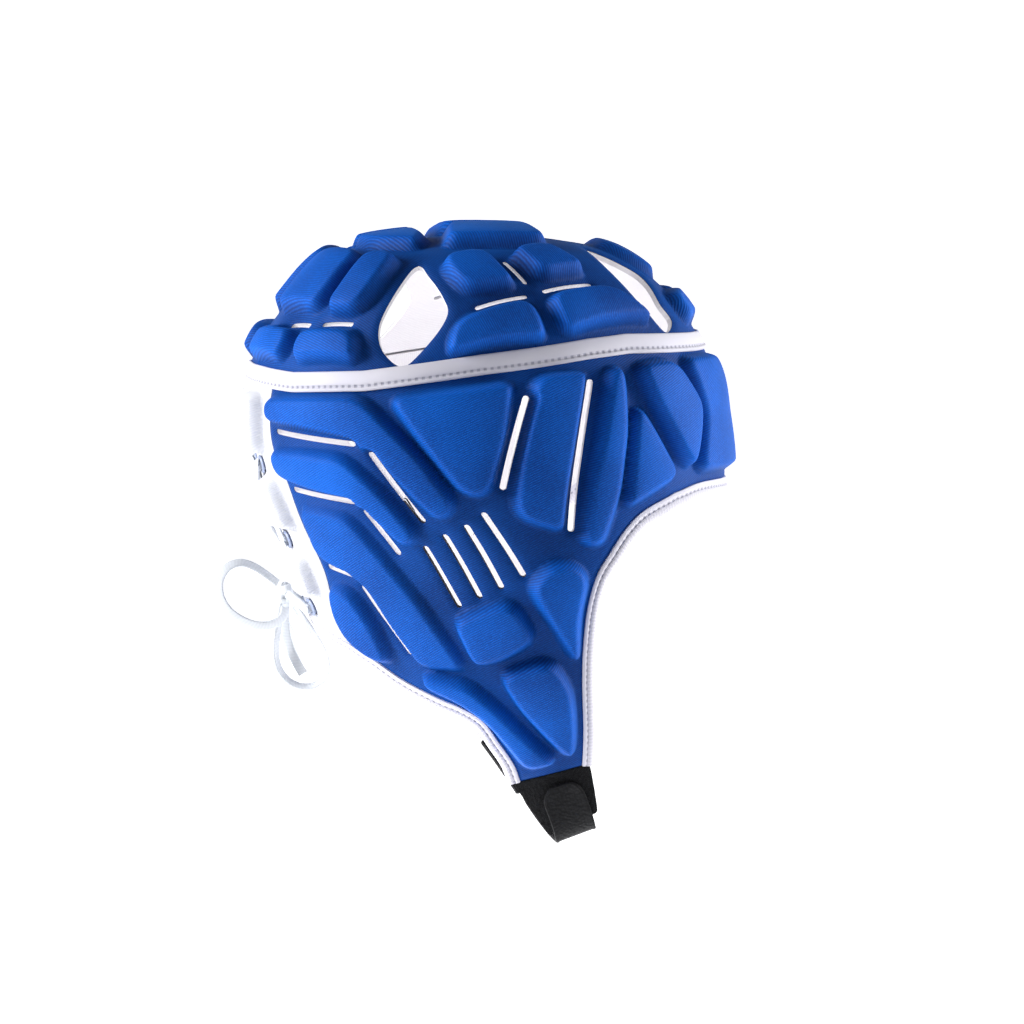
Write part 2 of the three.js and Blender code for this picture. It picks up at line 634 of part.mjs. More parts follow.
// The patch continues the line of the chin edge past the panel on both sides.
function patchCorners(overhang, gap) {
  const [front, rear] = [chinEdge.front, chinEdge.rear].map(sideLayout.flat);
  const along = rear.clone().sub(front).normalize();
  const down = new THREE.Vector2(0, gap);
  const topFront = front.clone().addScaledVector(along, -overhang).add(down);
  const topRear = rear.clone().addScaledVector(along, overhang).add(down);
  return [topFront, topRear, sideLayout.flat(patchEnd.rear), sideLayout.flat(patchEnd.front)];
}

function chinPatch() {
  const [topFront, topRear, endRear, endFront] = patchCorners(patchOverhang, seamGap);
  const thirds = [0, 1 / 3, 2 / 3, 1];
  const ring = (share) => {
    const [front, rear] = [topFront.clone().lerp(endFront, share), topRear.clone().lerp(endRear, share)];
    const places = thirds.map((step) => sideLayout.place(front.clone().lerp(rear, step)));
    const layer = (height) => places.map((place) => sheetPoint(place, height));
    return [...layer((patchThick - wall) / 2), ...layer(-(patchThick + wall) / 2).reverse()];
  };
  return loft(thirds.map(ring));
}

function patchRoom() {
  const corners = patchCorners(4 * patchOverhang, -5 * seamGap);
  return cutter(corners, sideLayout, -patchRoomReach, patchRoomReach);
}

function faceBinding() {
  const edge = [...browEdge.slice(1), ...cheekEdge.slice(1)];
  const places = [...edge.slice().reverse(), [0, browLevel], ...mirroredPlaces(edge)];
  const middle = edge.length;
  const widths = places.map((_, i) => {
    const share = Math.min(1, (Math.abs(i - middle) / middle) * bindTaper);
    return THREE.MathUtils.lerp(browBindWidth, chinBindWidth, share);
  });
  const room = patchRoom();
  return joined(bindingAlong(places, widths), [], [room, mirrored(room)]);
}

function neckBinding() {
  const places = [...napeEdge.slice().reverse(), ...neckEdge.slice(1)];
  return joined(bindingAlong(places, places.map(() => neckBindWidth)), [], [patchRoom()]);
}

// Flat webbing along a path: its width lies along widthHint, square to the path.
function ribbon(path, widthHints, halfWidths, thick) {
  const rings = path.map((p, i) => {
    const along = path[Math.min(i + 1, path.length - 1)].clone().sub(path[Math.max(i - 1, 0)]).normalize();
    const across = widthHints[i].clone().addScaledVector(along, -widthHints[i].dot(along)).normalize();
    const out = across.clone().cross(along).multiplyScalar(thick / 2);
    const side = across.multiplyScalar(halfWidths[i]);
    const corners = [[1, 1], [-1, 1], [-1, -1], [1, -1]];
    return corners.map(([a, b]) => p.clone().addScaledVector(side, a).addScaledVector(out, b));
  });
  return loft(rings);
}

// The strap lies on one patch, folds under the end of the panel, passes below the chin and
// comes up on the other patch. Its path stays in one plane, tilted as the panel ends are.
function chinStrap() {
  const lie = (patchThick - wall) / 2 + seamGap + strapThick / 2;
  const tab = tabLine.map((place) => sheetPoint(place, lie));
  const fold = sheetPoint(tabFold, lie - strapThick / 2);
  const down = tab.at(-1).clone().sub(tab[0]).setX(0).normalize();
  const under = [0.93, 0.75, 0.4, 0].map((share) => new THREE.Vector3(fold.x * share, fold.y, fold.z)
    .addScaledVector(down, strapThick + strapSag * (1 - share * share)));
  const half = [...tab, fold, ...under];
  const whole = [...half, ...half.slice(0, -1).reverse().map((p) => p.clone().setX(-p.x))];
  const curve = new THREE.CatmullRomCurve3(whole, false, "centripetal");
  const path = curve.getSpacedPoints(strapSteps);
  const length = curve.getLength();
  const level = new THREE.Vector3(1, 0, 0).cross(down).normalize();
  const lying = tab.at(-1).clone().sub(tab[0]).cross(outwardAt(...tabLine[1])).normalize();
  lying.multiplyScalar(Math.sign(lying.dot(level)));
  const lyingLeft = lying.clone().setX(-lying.x);
  const fromEndOf = (i) => Math.min(i, path.length - 1 - i) * (length / (path.length - 1));
  const tabLength = tab[0].distanceTo(fold);
  const widthHints = path.map((p, i) => {
    const share = THREE.MathUtils.smoothstep(fromEndOf(i), tabLength - strapThick, tabLength + strapWidth);
    return (p.x < 0 ? lying : lyingLeft).clone().lerp(level, share);
  });
  const radius = strapWidth / 2;
  const halfWidths = path.map((_, i) => {
    const fromEnd = fromEndOf(i);
    const short = Math.max(0, 1 - fromEnd / radius - tabBlunt);
    return radius * Math.sqrt(1 - short * short);
  });
  return ribbon(path, widthHints, halfWidths, strapThick);
}

// One lace holds the nape panels: a bar inside at the top holes, a cross outside down to the
// middle holes, a cross inside down to the low holes, and out through those to the knot.
const [topHole, middleHole, lowHole] = laceHoles;
const leftOf = ([angle, level]) => [360 - angle, level];
const inside = -wall - laceLift;
const knotCentre = sheetPoint([180, knotLevel], knotHeight);

function napeLace() {
  const pass = (hole, outwards) => {
    const heights = [inside, inside + laceThick, laceLift - laceThick, laceLift];
    return (outwards ? heights : heights.reverse()).map((height) => [hole, height]);
  };
  const crossing = (from, to, height) => [[[180, (from[1] + to[1]) / 2], height]];
  const right = knotCentre.clone().add(new THREE.Vector3(-knotHalf.across - seamGap, 0, 0));
  const stops = [
    ...pass(lowHole, false),
    ...crossing(lowHole, middleHole, inside),
    ...pass(leftOf(middleHole), true),
    ...crossing(middleHole, topHole, laceLift + laceCross),
    ...pass(topHole, false),
    ...crossing(topHole, topHole, inside),
    ...pass(leftOf(topHole), true),
    ...crossing(topHole, middleHole, laceLift - laceCross / 2),
    ...pass(middleHole, false),
    ...crossing(middleHole, lowHole, inside - laceCross),
    ...pass(leftOf(lowHole), true),
  ];
  const left = right.clone().setX(-right.x);
  const path = [right, ...stops.map(([place, height]) => sheetPoint(place, height)), left];
  const up = new THREE.Vector3(0, 0.2, 1).normalize();
  return ribbon(path, path.map(() => up), path.map(() => laceWidth / 2), laceThick);
}

function eyelet([angle, level]) {
  const seat = tapeClearance;
  const profile = [[eyeletBore, -wall], [eyeletBarrel, -wall], [eyeletBarrel, seat], [eyeletFlange, seat],
    [eyeletFlange, seat + flangeThick], [eyeletBore, seat + flangeThick], [eyeletBore, -wall]];
  const geometry = new THREE.LatheGeometry(profile.map(([r, h]) => new THREE.Vector2(r, h)), ringSides);
  const turn = new THREE.Quaternion().setFromUnitVectors(new THREE.Vector3(0, 1, 0), outwardAt(angle, level));
  const place = outerPoint(angle, level);
  geometry.applyMatrix4(new THREE.Matrix4().compose(place, turn, new THREE.Vector3(1, 1, 1)));
  return geometry;
}

function knot() {
  const geometry = new THREE.SphereGeometry(1, 8, 5);
  geometry.scale(knotHalf.across, knotHalf.deep, knotHalf.tall);
  return geometry.translate(...knotCentre.toArray());
}

// Flat lace as a tube of a six-sided section along a route from the knot.
function freeLace(route, steps) {
  const [wide, thin] = [laceWidth / 2, laceThick / 2];
  const section = new THREE.Shape([
    [thin, laceEdge * wide], [0, wide], [-thin, laceEdge * wide],
    [-thin, -laceEdge * wide], [0, -wide], [thin, -laceEdge * wide],
  ].map(([x, y]) => new THREE.Vector2(x, y)));
  const path = new THREE.CatmullRomCurve3(route.map((p) => new THREE.Vector3(...p).add(knotCentre)));
  return new THREE.ExtrudeGeometry(section, { steps, bevelEnabled: false, extrudePath: path });
}

const rightPanel = sidePanel();
const rightNape = napePanel();
const rightNeckBinding = neckBinding();
const rightPatch = chinPatch();

addPiece("crown", crown(), colours.blue);
addPiece("headband_tape", headbandTape(), colours.binding);
addPiece("side_panel_right", rightPanel, colours.blue);
addPiece("side_panel_left", mirrored(rightPanel), colours.blue);
addPiece("nape_panel_right", rightNape, colours.white);
addPiece("nape_panel_left", mirrored(rightNape), colours.white);
addPiece("face_binding", faceBinding(), colours.binding);
addPiece("neck_binding_right", rightNeckBinding, colours.binding);
addPiece("neck_binding_left", mirrored(rightNeckBinding), colours.binding);
addPiece("chin_patch_right", rightPatch, colours.black);
addPiece("chin_patch_left", mirrored(rightPatch), colours.black);
addPiece("chin_strap", chinStrap(), colours.black);
addPiece("nape_lace", napeLace(), colours.white);
laceHoles.forEach((hole, i) => {
  addPiece(`eyelet_right_${i + 1}`, eyelet(hole), colours.eyelet);
  addPiece(`eyelet_left_${i + 1}`, eyelet(leftOf(hole)), colours.eyelet);
});
addPiece("lace_knot", knot(), colours.white);
addPiece("lace_loop_upper", freeLace(upperLoop, 16), colours.white);
addPiece("lace_loop_lower", freeLace(lowerLoop, 18), colours.white);
addPiece("lace_end_right", freeLace(rightEnd, 6), colours.white);
addPiece("lace_end_left", freeLace(leftEnd, 6), colours.white);

export default cap;
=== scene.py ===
"""Looks of a rugby scrum cap: moulded foam pads under knitted polyester, bound and laced.

The file is laid out as an add-on and is run as a script. All shapes are worked out in
millimetres on the same sheet as the solids and go into their meshes in metres.
"""

import math
from collections import namedtuple

import bpy
import numpy as np
from bpy.props import FloatProperty, FloatVectorProperty, PointerProperty
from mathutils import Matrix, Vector


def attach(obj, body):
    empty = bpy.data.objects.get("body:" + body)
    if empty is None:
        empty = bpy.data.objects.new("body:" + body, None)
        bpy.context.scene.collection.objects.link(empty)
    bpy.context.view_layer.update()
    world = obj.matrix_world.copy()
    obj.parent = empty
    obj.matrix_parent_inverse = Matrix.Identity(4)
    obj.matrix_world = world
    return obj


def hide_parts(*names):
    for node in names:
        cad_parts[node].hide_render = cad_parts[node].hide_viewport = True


bl_info = {
    "name": "Scrum Cap",
    "version": (1, 0, 0),
    "blender": (4, 5, 0),
    "location": "3D View > Sidebar > Scrum Cap",
    "description": "Builds a padded scrum cap over its packed solids",
    "category": "Add Mesh",
}

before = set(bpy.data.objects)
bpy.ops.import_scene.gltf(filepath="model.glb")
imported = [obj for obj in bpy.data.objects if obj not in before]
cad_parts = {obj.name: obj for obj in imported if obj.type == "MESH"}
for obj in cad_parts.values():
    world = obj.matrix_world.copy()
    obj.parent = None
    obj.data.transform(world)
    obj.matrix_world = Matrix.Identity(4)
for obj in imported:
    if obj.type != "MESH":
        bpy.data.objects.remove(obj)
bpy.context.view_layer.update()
MM = 0.001

# The sheet: the thin web that carries the pads. Columns: level, drop as a share of the cap's
# height, front and back reach as shares of its length, half width as a share of its width,
# and the power of the oval's rear half.
CAP_LENGTH, CAP_WIDTH, CAP_HEIGHT, WALL = 208.0, 165.0, 260.0, 3.0
SECTIONS = np.array([
    [0.0, 0.0, 0.0, 0.0, 0.0, 2.25],
    [0.25, 0.006, 0.145, 0.172, 0.164, 2.25],
    [0.5, 0.031, 0.27, 0.312, 0.303, 2.25],
    [0.75, 0.1, 0.38, 0.404, 0.424, 2.25],
    [1.0, 0.2, 0.457, 0.485, 0.479, 2.25],
    [1.25, 0.3, 0.481, 0.49, 0.497, 2.25],
    [1.5, 0.4, 0.495, 0.466, 0.5, 2.1],
    [1.75, 0.5, 0.51, 0.423, 0.491, 1.95],
    [2.0, 0.6, 0.519, 0.385, 0.467, 1.8],
    [2.25, 0.7, 0.519, 0.332, 0.43, 1.75],
    [2.5, 0.8, 0.51, 0.284, 0.382, 1.75],
    [2.75, 0.9, 0.49, 0.25, 0.327, 1.75],
    [3.0, 1.0, 0.462, 0.221, 0.267, 1.75],
])
LEVEL_STEP = 0.25
FRONT_POWER = 2.25
LEVEL_RUN = 0.4 * CAP_HEIGHT
DEGREE_RUN = CAP_WIDTH / 2 * math.pi / 180

# Lines on the sheet as [angle, level]: degrees from the brow round the wearer's right side.
BAND_LINE = np.array([
    [0, 0.93], [30, 0.928], [58, 0.92], [69, 0.935], [82, 0.963], [96, 0.99], [110, 1.023],
    [124, 1.055], [145, 1.07], [162, 1.057], [180, 1.05],
])
SEAM_LINE = [[157.5, 1.2], [159, 1.36], [156, 1.5], [156.5, 1.68], [154.5, 1.86], [157.5, 2.05], [156, 2.16]]
SEAM_TOP_ANGLE = 154.5
NECK_LINE = [[156, 2.16], [148, 2.21], [138, 2.29], [126, 2.36], [120, 2.39], [114, 2.44], [110, 2.53],
             [106, 2.62], [104, 2.7]]
BROW_LINE = [[0, 1.5], [14, 1.497], [38, 1.49], [50, 1.52]]
CHEEK_LINE = [[50, 1.52], [60, 1.58], [66, 1.65], [71, 1.74], [76, 1.85], [80, 2.03], [83, 2.28], [84, 2.63]]
NAPE_LINE = [[156, 2.16], [167, 2.12], [178, 2.07]]
LACE_GAP_ANGLE = 178.07
REAR_OPENING = [[118, 0.55], [113, 0.62], [108, 0.72], [106, 0.8], [109, 0.9], [114.5, 0.995], [120, 0.95],
                [123.5, 0.87], [124, 0.78], [121.5, 0.64]]
FRONT_OPENING = [[38, 0.42], [43.5, 0.5], [46, 0.6], [46, 0.71], [44.5, 0.8], [41, 0.883], [34, 0.84],
                 [34.5, 0.77], [30, 0.68], [28.5, 0.62], [32.5, 0.55], [36, 0.48]]
OPENING_REACH = 4
BAND_GAP, SEAM_GAP, SEAM_TOP_GAP_ANGLE = 1.2, 0.3, 0.2

# Pads through a few cross lines [angle, level, angle, level], with a share of the rise.
CROWN_PADS = [
    (0.8, [[175, 0.43, 171, 0.21], [148, 0.44, 150, 0.23], [122, 0.44, 128, 0.31]]),
    (1.0, [[111, 0.42, 160, 0.13], [90, 0.4, 90, 0.04], [63, 0.42, 25, 0.13]]),
    (1.0, [[109.5, 0.545, 93, 0.505], [107, 0.64, 88.5, 0.61], [101, 0.72, 85.5, 0.69]]),
    (1.0, [[84, 0.495, 67, 0.465], [80.5, 0.58, 63, 0.54], [77, 0.655, 59.5, 0.625]]),
    (1.0, [[102.5, 0.825, 83.5, 0.75], [104.5, 0.89, 80.5, 0.83], [104, 0.962, 80, 0.905]]),
    (1.0, [[77.5, 0.735, 57, 0.7], [76.5, 0.82, 50.5, 0.775], [75, 0.89, 47, 0.85]]),
    (0.9, [[174, 0.52, 142, 0.52], [172.5, 0.66, 143.5, 0.66], [171, 0.82, 146, 0.81]]),
    (1.0, [[139, 0.52, 124.5, 0.53], [140.5, 0.66, 127, 0.67], [142, 0.81, 130.5, 0.81]]),
    (1.0, [[146, 0.885, 128, 0.875], [145, 1.0, 125.5, 0.99]]),
    (0.9, [[172, 0.89, 149.5, 0.88], [171, 1.0, 150, 1.0]]),
    (0.8, [[28, 0.75, 4, 0.735], [28, 0.865, 4, 0.87]]),
]
BROW_PETAL_PAD = (0.6, [[25, 0.43, -25, 0.43], [26, 0.53, -26, 0.53], [20.5, 0.66, -20.5, 0.66]])
SIDE_PADS = [
    (0.9, [[154.5, 1.13, 155, 1.235], [140, 1.12, 140, 1.245], [124, 1.11, 128, 1.275],
           [112, 1.33, 119.5, 1.43], [105, 1.54, 111, 1.61]]),
    (0.75, [[157, 1.34, 156.5, 1.45], [143, 1.335, 143, 1.495], [130.5, 1.345, 132, 1.525],
            [122, 1.5, 127, 1.61], [116.5, 1.67, 122, 1.715]]),
    (0.6, [[152, 1.57, 153, 1.765], [145, 1.565, 146, 1.82], [134.5, 1.59, 138.5, 1.865],
           [128.5, 1.76, 135.5, 1.97], [121.5, 1.94, 133.5, 2.08], [114, 2.215, 128.5, 2.215]]),
    (0.8, [[152, 1.885, 144, 1.895], [154.5, 2.01, 140, 2.0], [153, 2.12, 138.5, 2.12],
           [146, 2.195, 139, 2.21]]),
    (1.0, [[118, 1.12, 88.5, 1.055], [111, 1.31, 91.5, 1.28], [104, 1.5, 97.5, 1.5]]),
    (1.0, [[84, 1.035, 70.5, 1.02], [88, 1.26, 74, 1.25], [92.5, 1.5, 79, 1.5], [92.5, 1.59, 82, 1.655]]),
    (1.0, [[66, 1.01, 61.5, 1.01], [70.5, 1.28, 62.5, 1.25], [75.5, 1.5, 66.5, 1.5], [79, 1.7, 73.5, 1.71]]),
    (0.9, [[61, 1.17, 57.5, 1.18], [63.5, 1.36, 53, 1.33], [66.5, 1.57, 49.5, 1.445]]),
    (1.0, [[58.5, 1.0, 46.5, 0.985], [56, 1.13, 38, 1.17], [51, 1.29, 40.5, 1.3], [47, 1.41, 43.5, 1.41]]),
    (0.8, [[42, 0.985, 20, 0.98], [37, 1.2, 9, 1.2], [42, 1.44, 5, 1.45]]),
    (1.0, [[114, 1.995, 111.5, 2.195], [106, 1.955, 102.5, 2.16], [97.5, 1.915, 93, 2.075]]),
    (1.0, [[87, 1.765, 81, 1.77], [93.5, 1.865, 78, 1.83], [89.5, 2.02, 81.5, 1.99],
           [85.5, 2.16, 83.2, 2.16]]),
    (1.0, [[105.5, 2.225, 91, 2.155], [102, 2.36, 86.5, 2.27], [96.5, 2.47, 86.3, 2.42],
           [90.5, 2.57, 87, 2.57]]),
    (0.9, [[129, 2.235, 129, 2.295], [115, 2.26, 119.5, 2.35], [107, 2.37, 112.5, 2.425],
           [100, 2.49, 107, 2.53], [91.5, 2.6, 101.5, 2.64]]),
]
NAPE_PADS = [
    (1.0, [[175, 1.13, 160.5, 1.13], [175, 1.25, 162.5, 1.25], [175, 1.37, 165, 1.37]]),
    (0.9, [[174.5, 1.48, 162.5, 1.465], [174.5, 1.57, 160.5, 1.57], [174.5, 1.675, 160, 1.675]]),
    (0.8, [[174.5, 1.8, 162, 1.79], [174, 1.88, 160.5, 1.88], [171, 1.955, 161, 1.965]]),
]
CROWN_SLITS = [[157, 0.855, 148, 0.85], [142, 0.845, 132.5, 0.84], [86, 0.53, 82, 0.65],
               [98, 0.77, 83.5, 0.72], [77, 0.695, 60.5, 0.665]]
SIDE_SLITS = [
    [154, 1.275, 128.5, 1.305], [124, 1.345, 115.5, 1.605], [153, 1.51, 133, 1.54], [130, 1.58, 125, 1.74],
    [151, 1.825, 143, 1.85], [140, 1.9, 132, 2.16], [86, 1.12, 94.2, 1.47], [70, 1.06, 80, 1.64],
    [117, 1.72, 112, 1.95], [111, 1.67, 106, 1.91], [105, 1.63, 100, 1.87], [100, 1.58, 94, 1.82],
]

# How a sheet ends at a cut: the pads fall over CUT_FALL, the cloth rolls down by CUT_ROLL, and
# bare foam shows for a share of the wall, with more of it at the slits over the ear.
CUT_FALL, CUT_ROLL = 3.0, 0.7
FOAM_SHARE, EAR_FOAM_SHARE = 0.3, 0.6
EAR_MIDDLE, EAR_REACH = np.array([105.0, 1.77]), np.array([14.0, 0.24])
PAD_DOME, DOME_FLANKS = 0.1, 2.6
CLOTH_WAVE = 0.12
LACE_HOLES = [[172, 1.425], [172, 1.737], [171.5, 2.02]]
HOLE_RADIUS = 3.4

# Sections. The tape's goes across in half widths. The binding's third column is 0 where the
# step across is in widths, and 1 where it is in millimetres. The strap's is in half widths and
# half thicknesses, and the eyelet's is [radius, height] in millimetres.
TAPE_SECTION = [[-1, 0], [-1, 0.7], [-0.93, 1.0], [-0.62, 1.12], [-0.52, 0.85], [-0.42, 1.15],
                [0.2, 1.3], [0.8, 1.15], [0.95, 0.9], [1, 0.5], [1, 0]]
TAPE_LIFT = 0.3
BINDING_SECTION = np.array([
    [-0.5, 1.2, 1], [-0.45, 1.85, 1], [0.3, 2.1, 1], [0.24, 2.1, 0], [0.3, 1.75, 0], [0.36, 2.05, 0],
    [0.6, 2.15, 0], [0.85, 1.6, 0], [1.0, 0.6, 0], [1.0, -0.6, 0], [0.85, -1.6, 0], [0.5, -2.0, 0],
    [0.1, -1.9, 0], [-0.5, -1.6, 1],
])
BINDING_TAPER = 1.6
STRAP_SECTION = np.array([
    [1, -0.5], [1, 0.5], [0.97, 1.0], [0.88, 1.15], [0.82, 0.8], [0, 0.85], [-0.82, 0.8],
    [-0.88, 1.15], [-0.97, 1.0], [-1, 0.5], [-1, -0.5], [-0.95, -1], [0, -1], [0.95, -1],
])
EYELET_SECTION = [[2.3, -2.6], [2.5, -3.0], [2.9, -2.9], [2.9, 0.1], [3.9, 0.1], [4.1, 0.45],
                  [3.8, 0.85], [3.3, 1.05], [2.7, 0.95], [2.35, 0.5]]

# The black patch, and the strap's tab on it.
PATCH_END = [[78, 2.84], [94, 2.94]]
PATCH_OVERHANG, PATCH_THICK, PATCH_CORNER, PATCH_STEP = 3.0, 2.4, 1.5, 0.7
PATCH_ROUGH, PATCH_FUZZ = 0.1, 0.22
GOLDEN_TURN = 2.399
TAB_LINE = [[91.5, 2.71], [89, 2.79], [86.5, 2.87]]
TAB_FOLD = [85.2, 2.918]
TAB_BLUNT = 0.12
STRAP_SAG = 3.0
STRAP_SPREAD = (0.93, 0.75, 0.4, 0)

# The knot and the held lace: how far its runs lie off the panels, and how much more where two
# of them cross.
KNOT_LEVEL, KNOT_HEIGHT, KNOT_SIDE = 1.95, 6.0, 6.2
KNOT_REACH, KNOT_PULL, KNOT_WIDTH, KNOT_THICK = (3.3, 1.5, 2.1), 0.9, 3.4, 1.3
LACE_LIFT, LACE_CROSS, LACE_TURN = 2.4, 1.8, 1.2
LACE_INSIDE = -WALL - LACE_LIFT

# The free lace from its knot: across to the wearer's left, back and up, in millimetres.
UPPER_LOOP = [
    [2, 3.4, 3.4], [2, 8, 7], [1, 13.5, 10.8], [0, 19.5, 12.8], [-1, 25, 11.2], [-2, 28.6, 6.2],
    [-3, 28.8, -0.8], [-4, 25.4, -7.2], [-4.5, 19.2, -11.8], [-5, 12.4, -14], [-5, 6.2, -13.4],
    [-5, 2, -10.4], [-5, 0.8, -6.2],
]
LOWER_LOOP = [
    [0, 1.4, -5.4], [0, 2.6, -11], [-1, 4, -18.8], [-1.5, 4.8, -26.5], [-2, 3.4, -33.4],
    [-2.5, -0.5, -38.6], [-3, -6, -41.2], [-3.5, -11.6, -40.8], [-4, -16, -37.4], [-4, -17.4, -31.6],
    [-3.5, -15.4, -25], [-2.5, -11.6, -18.2], [-1, -7.2, -11.4], [0, -3.4, -6.4],
]
RIGHT_END = [[3.4, 0, -4.2], [4.4, 0.4, -11], [3.6, 0, -18], [2, -1.6, -25], [0.4, -4.2, -31], [-1, -7, -36]]
LEFT_END = [[8, 0, -3.2], [12, 1, -8], [16, 0, -14.5], [19, -3, -21], [21, -6.5, -27.5], [22.5, -9, -33]]
# Columns: piece, route, direction of its width, tilt in degrees, solid and far end.
FREE_LACE = [
    ("bow_loop_upper", UPPER_LOOP, (1, 0, 0), 42, "lace_loop_upper", "object"),
    ("bow_loop_lower", LOWER_LOOP, (1, 0, 0), -38, "lace_loop_lower", "object"),
    ("bow_end_right", RIGHT_END, (0.3, 1, 0), 0, "lace_end_right", "bare"),
    ("bow_end_left", LEFT_END, (0, 1, 0), 0, "lace_end_left", "bare"),
]

# The studio, in metres and degrees, and the floor in millimetres: its level, where it starts,
# where it bends up, the radius of the bend and its half width.
CAMERA_AZIMUTH, CAMERA_ELEVATION, CAMERA_DISTANCE, FRAME_WIDTH = 262, 6.5, 1.4, 0.4454
CAMERA_TARGET, CAMERA_SHIFT = (0, 0, -0.13), (25 / 1024, 31 / 1024)
FLOOR_LEVEL, FLOOR_NEAR, FLOOR_FAR, FLOOR_BEND, FLOOR_HALF = -320.0, -2500.0, 3200.0, 1400.0, 5000.0
FLOOR_ROWS, FLOOR_GRAIN = 40, 1000 / 3
GLOW_RUN, GLOW = (-0.45, -0.15), (0.08, 0.84)
# Columns: name, direction from the cap, distance, size and watts.
LIGHTS = [
    ("Rear softbox", (-0.12, 1.0, 0.34), 1.3, (0.35, 0.7), 22),
    ("Front softbox", (-0.12, -1.0, 0.2), 1.3, (0.35, 0.7), 18),
    ("Inner softbox", (0, 0, -1.0), 0.2, (0.1, 0.14), 0.3),
]
LIGHT_TARGET = (0, 0, -0.11)
SURROUND_COLOUR, SURROUND_STRENGTH = (0.97, 0.98, 1.0, 1), 0.18

# A mesh: points in millimetres, arrays of faces, one array for each number of sides, a material
# number for each face, flat coordinates in metres, and each point's rise from the groove, 0 to 1.
Shape = namedtuple("Shape", "points faces slots uv depth", defaults=(None, None, None))


# ---- Sizes and colours -----------------------------------------------------------------

def length_property(name, description, default, low, high):
    return FloatProperty(name=name, description=description, default=default, min=low, max=high)


def colour_property(name, description, hex_value):
    return FloatVectorProperty(name=name, description=description, subtype="COLOR", size=4,
                               min=0, max=1, default=to_linear(hex_value))


def to_linear(hex_value):
    """sRGB hex to linear: c/12.92 below 0.04045, else ((c+0.055)/1.055)^2.4, with alpha 1."""
    parts = [int(hex_value[i:i + 2], 16) / 255 for i in (1, 3, 5)]
    return tuple(c / 12.92 if c <= 0.04045 else ((c + 0.055) / 1.055) ** 2.4 for c in parts) + (1.0,)


class CapSizes(bpy.types.PropertyGroup):
    pad_rise: length_property("Pad rise", "Height of a pad over the web, mm", 7.0, 2, 10)
    pad_flank: length_property("Pad flank", "Width of a pad's sloping side, mm", 4.2, 2, 8)
    pad_spread: length_property("Pad spread", "How far a pad's foot lies outside its outline, mm", 1.5, 0, 3)
    pad_corner: length_property("Pad corner", "Reach of a pad's rounded corner, mm", 6.0, 2, 12)
    slit_width: length_property("Slit width", "Width of the slits in the side panels, mm", 2.3, 1, 4)
    crown_slit_width: length_property("Crown slit", "Width of the slits in the crown, mm", 1.7, 1, 4)
    mesh_step: length_property("Mesh step", "Grid spacing of the padded sheets, mm", 0.85, 0.8, 3)
    tape_width: length_property("Tape width", "Width of the headband tape, mm", 8.4, 5, 12)
    brow_binding: length_property("Brow binding", "Width of the binding over the face, mm", 9.0, 5, 12)
    chin_binding: length_property("Chin binding", "Width of that binding at the chin, mm", 4.6, 3, 8)
    neck_binding: length_property("Neck binding", "Width of the binding at the neck, mm", 5.2, 3, 8)
    strap_width: length_property("Strap width", "Width of the chin strap, mm", 18.0, 12, 26)
    strap_thick: length_property("Strap thickness", "Thickness of the chin strap, mm", 1.8, 1, 3)
    lace_width: length_property("Lace width", "Width of the flat lace, mm", 4.2, 3, 7)
    lace_thick: length_property("Lace thickness", "Thickness of the flat lace, mm", 1.2, 0.6, 2)


class CapColours(bpy.types.PropertyGroup):
    knit: colour_property("Knit", "Royal blue knitted cover", "#0561CE")
    knit_shade: colour_property("Knit shade", "The same knit between its wales", "#023C8C")
    knit_sheen: colour_property("Knit sheen", "Light that the blue nap throws back", "#3FA0FF")
    foam: colour_property("Foam", "Cut foam edge", "#3E3F46")
    foam_cell: colour_property("Foam cells", "Open cells in the cut foam", "#2A2B31")
    lining: colour_property("Lining", "Pale inner lining", "#F0EEF0")
    lining_shade: colour_property("Lining shade", "The lining between its wales", "#E6E4E8")
    white: colour_property("White knit", "White cover of the nape panels", "#E3E4E8")
    white_shade: colour_property("White shade", "The white knit between its wales", "#D8DAE4")
    binding: colour_property("Binding", "Ribbed binding and tape", "#D4D2DD")
    thread: colour_property("Thread", "Shadowed sewing line", "#9A9AAA")
    black: colour_property("Black loop", "Hook-and-loop patch", "#08080A")
    loop_tip: colour_property("Loop tips", "Tips of the patch's loops", "#1D1E22")
    strap: colour_property("Strap", "Chin strap", "#09090B")
    hook_gap: colour_property("Strap hooks", "The strap round its hooks", "#17181B")
    lace: colour_property("Lace", "Flat woven lace", "#DADEE3")
    eyelet: colour_property("Eyelet", "Moulded eyelet ring", "#9AA6C4")
    floor: colour_property("Floor", "Studio floor", "#F7F7F8")


def sizes():
    return bpy.context.scene.cap_sizes


def colour(name):
    return tuple(getattr(bpy.context.scene.cap_colours, name))


def shaded(name, share):
    """A named colour, darkened to a share of its light."""
    return tuple(share * c for c in colour(name)[:3]) + (1.0,)


# ---- The sheet ---------------------------------------------------------------------------

def section_value(level, column, sign):
    """One column of SECTIONS at each level: a uniform cubic through the rows, mirrored at the
    apex with the given sign and carried straight on at the end."""
    rows = SECTIONS[:, column]
    padded = np.concatenate([[sign * rows[1]], rows, [2 * rows[-1] - rows[-2]]])
    i = np.clip(np.floor(level / LEVEL_STEP).astype(int), 0, len(rows) - 2)
    u = level / LEVEL_STEP - i
    p0, p1, p2, p3 = (padded[i + k] for k in range(4))
    m1, m2 = (p2 - p0) / 2, (p3 - p1) / 2
    u2, u3 = u * u, u * u * u
    return (2 * u3 - 3 * u2 + 1) * p1 + (u3 - 2 * u2 + u) * m1 + (3 * u2 - 2 * u3) * p2 + (u3 - u2) * m2


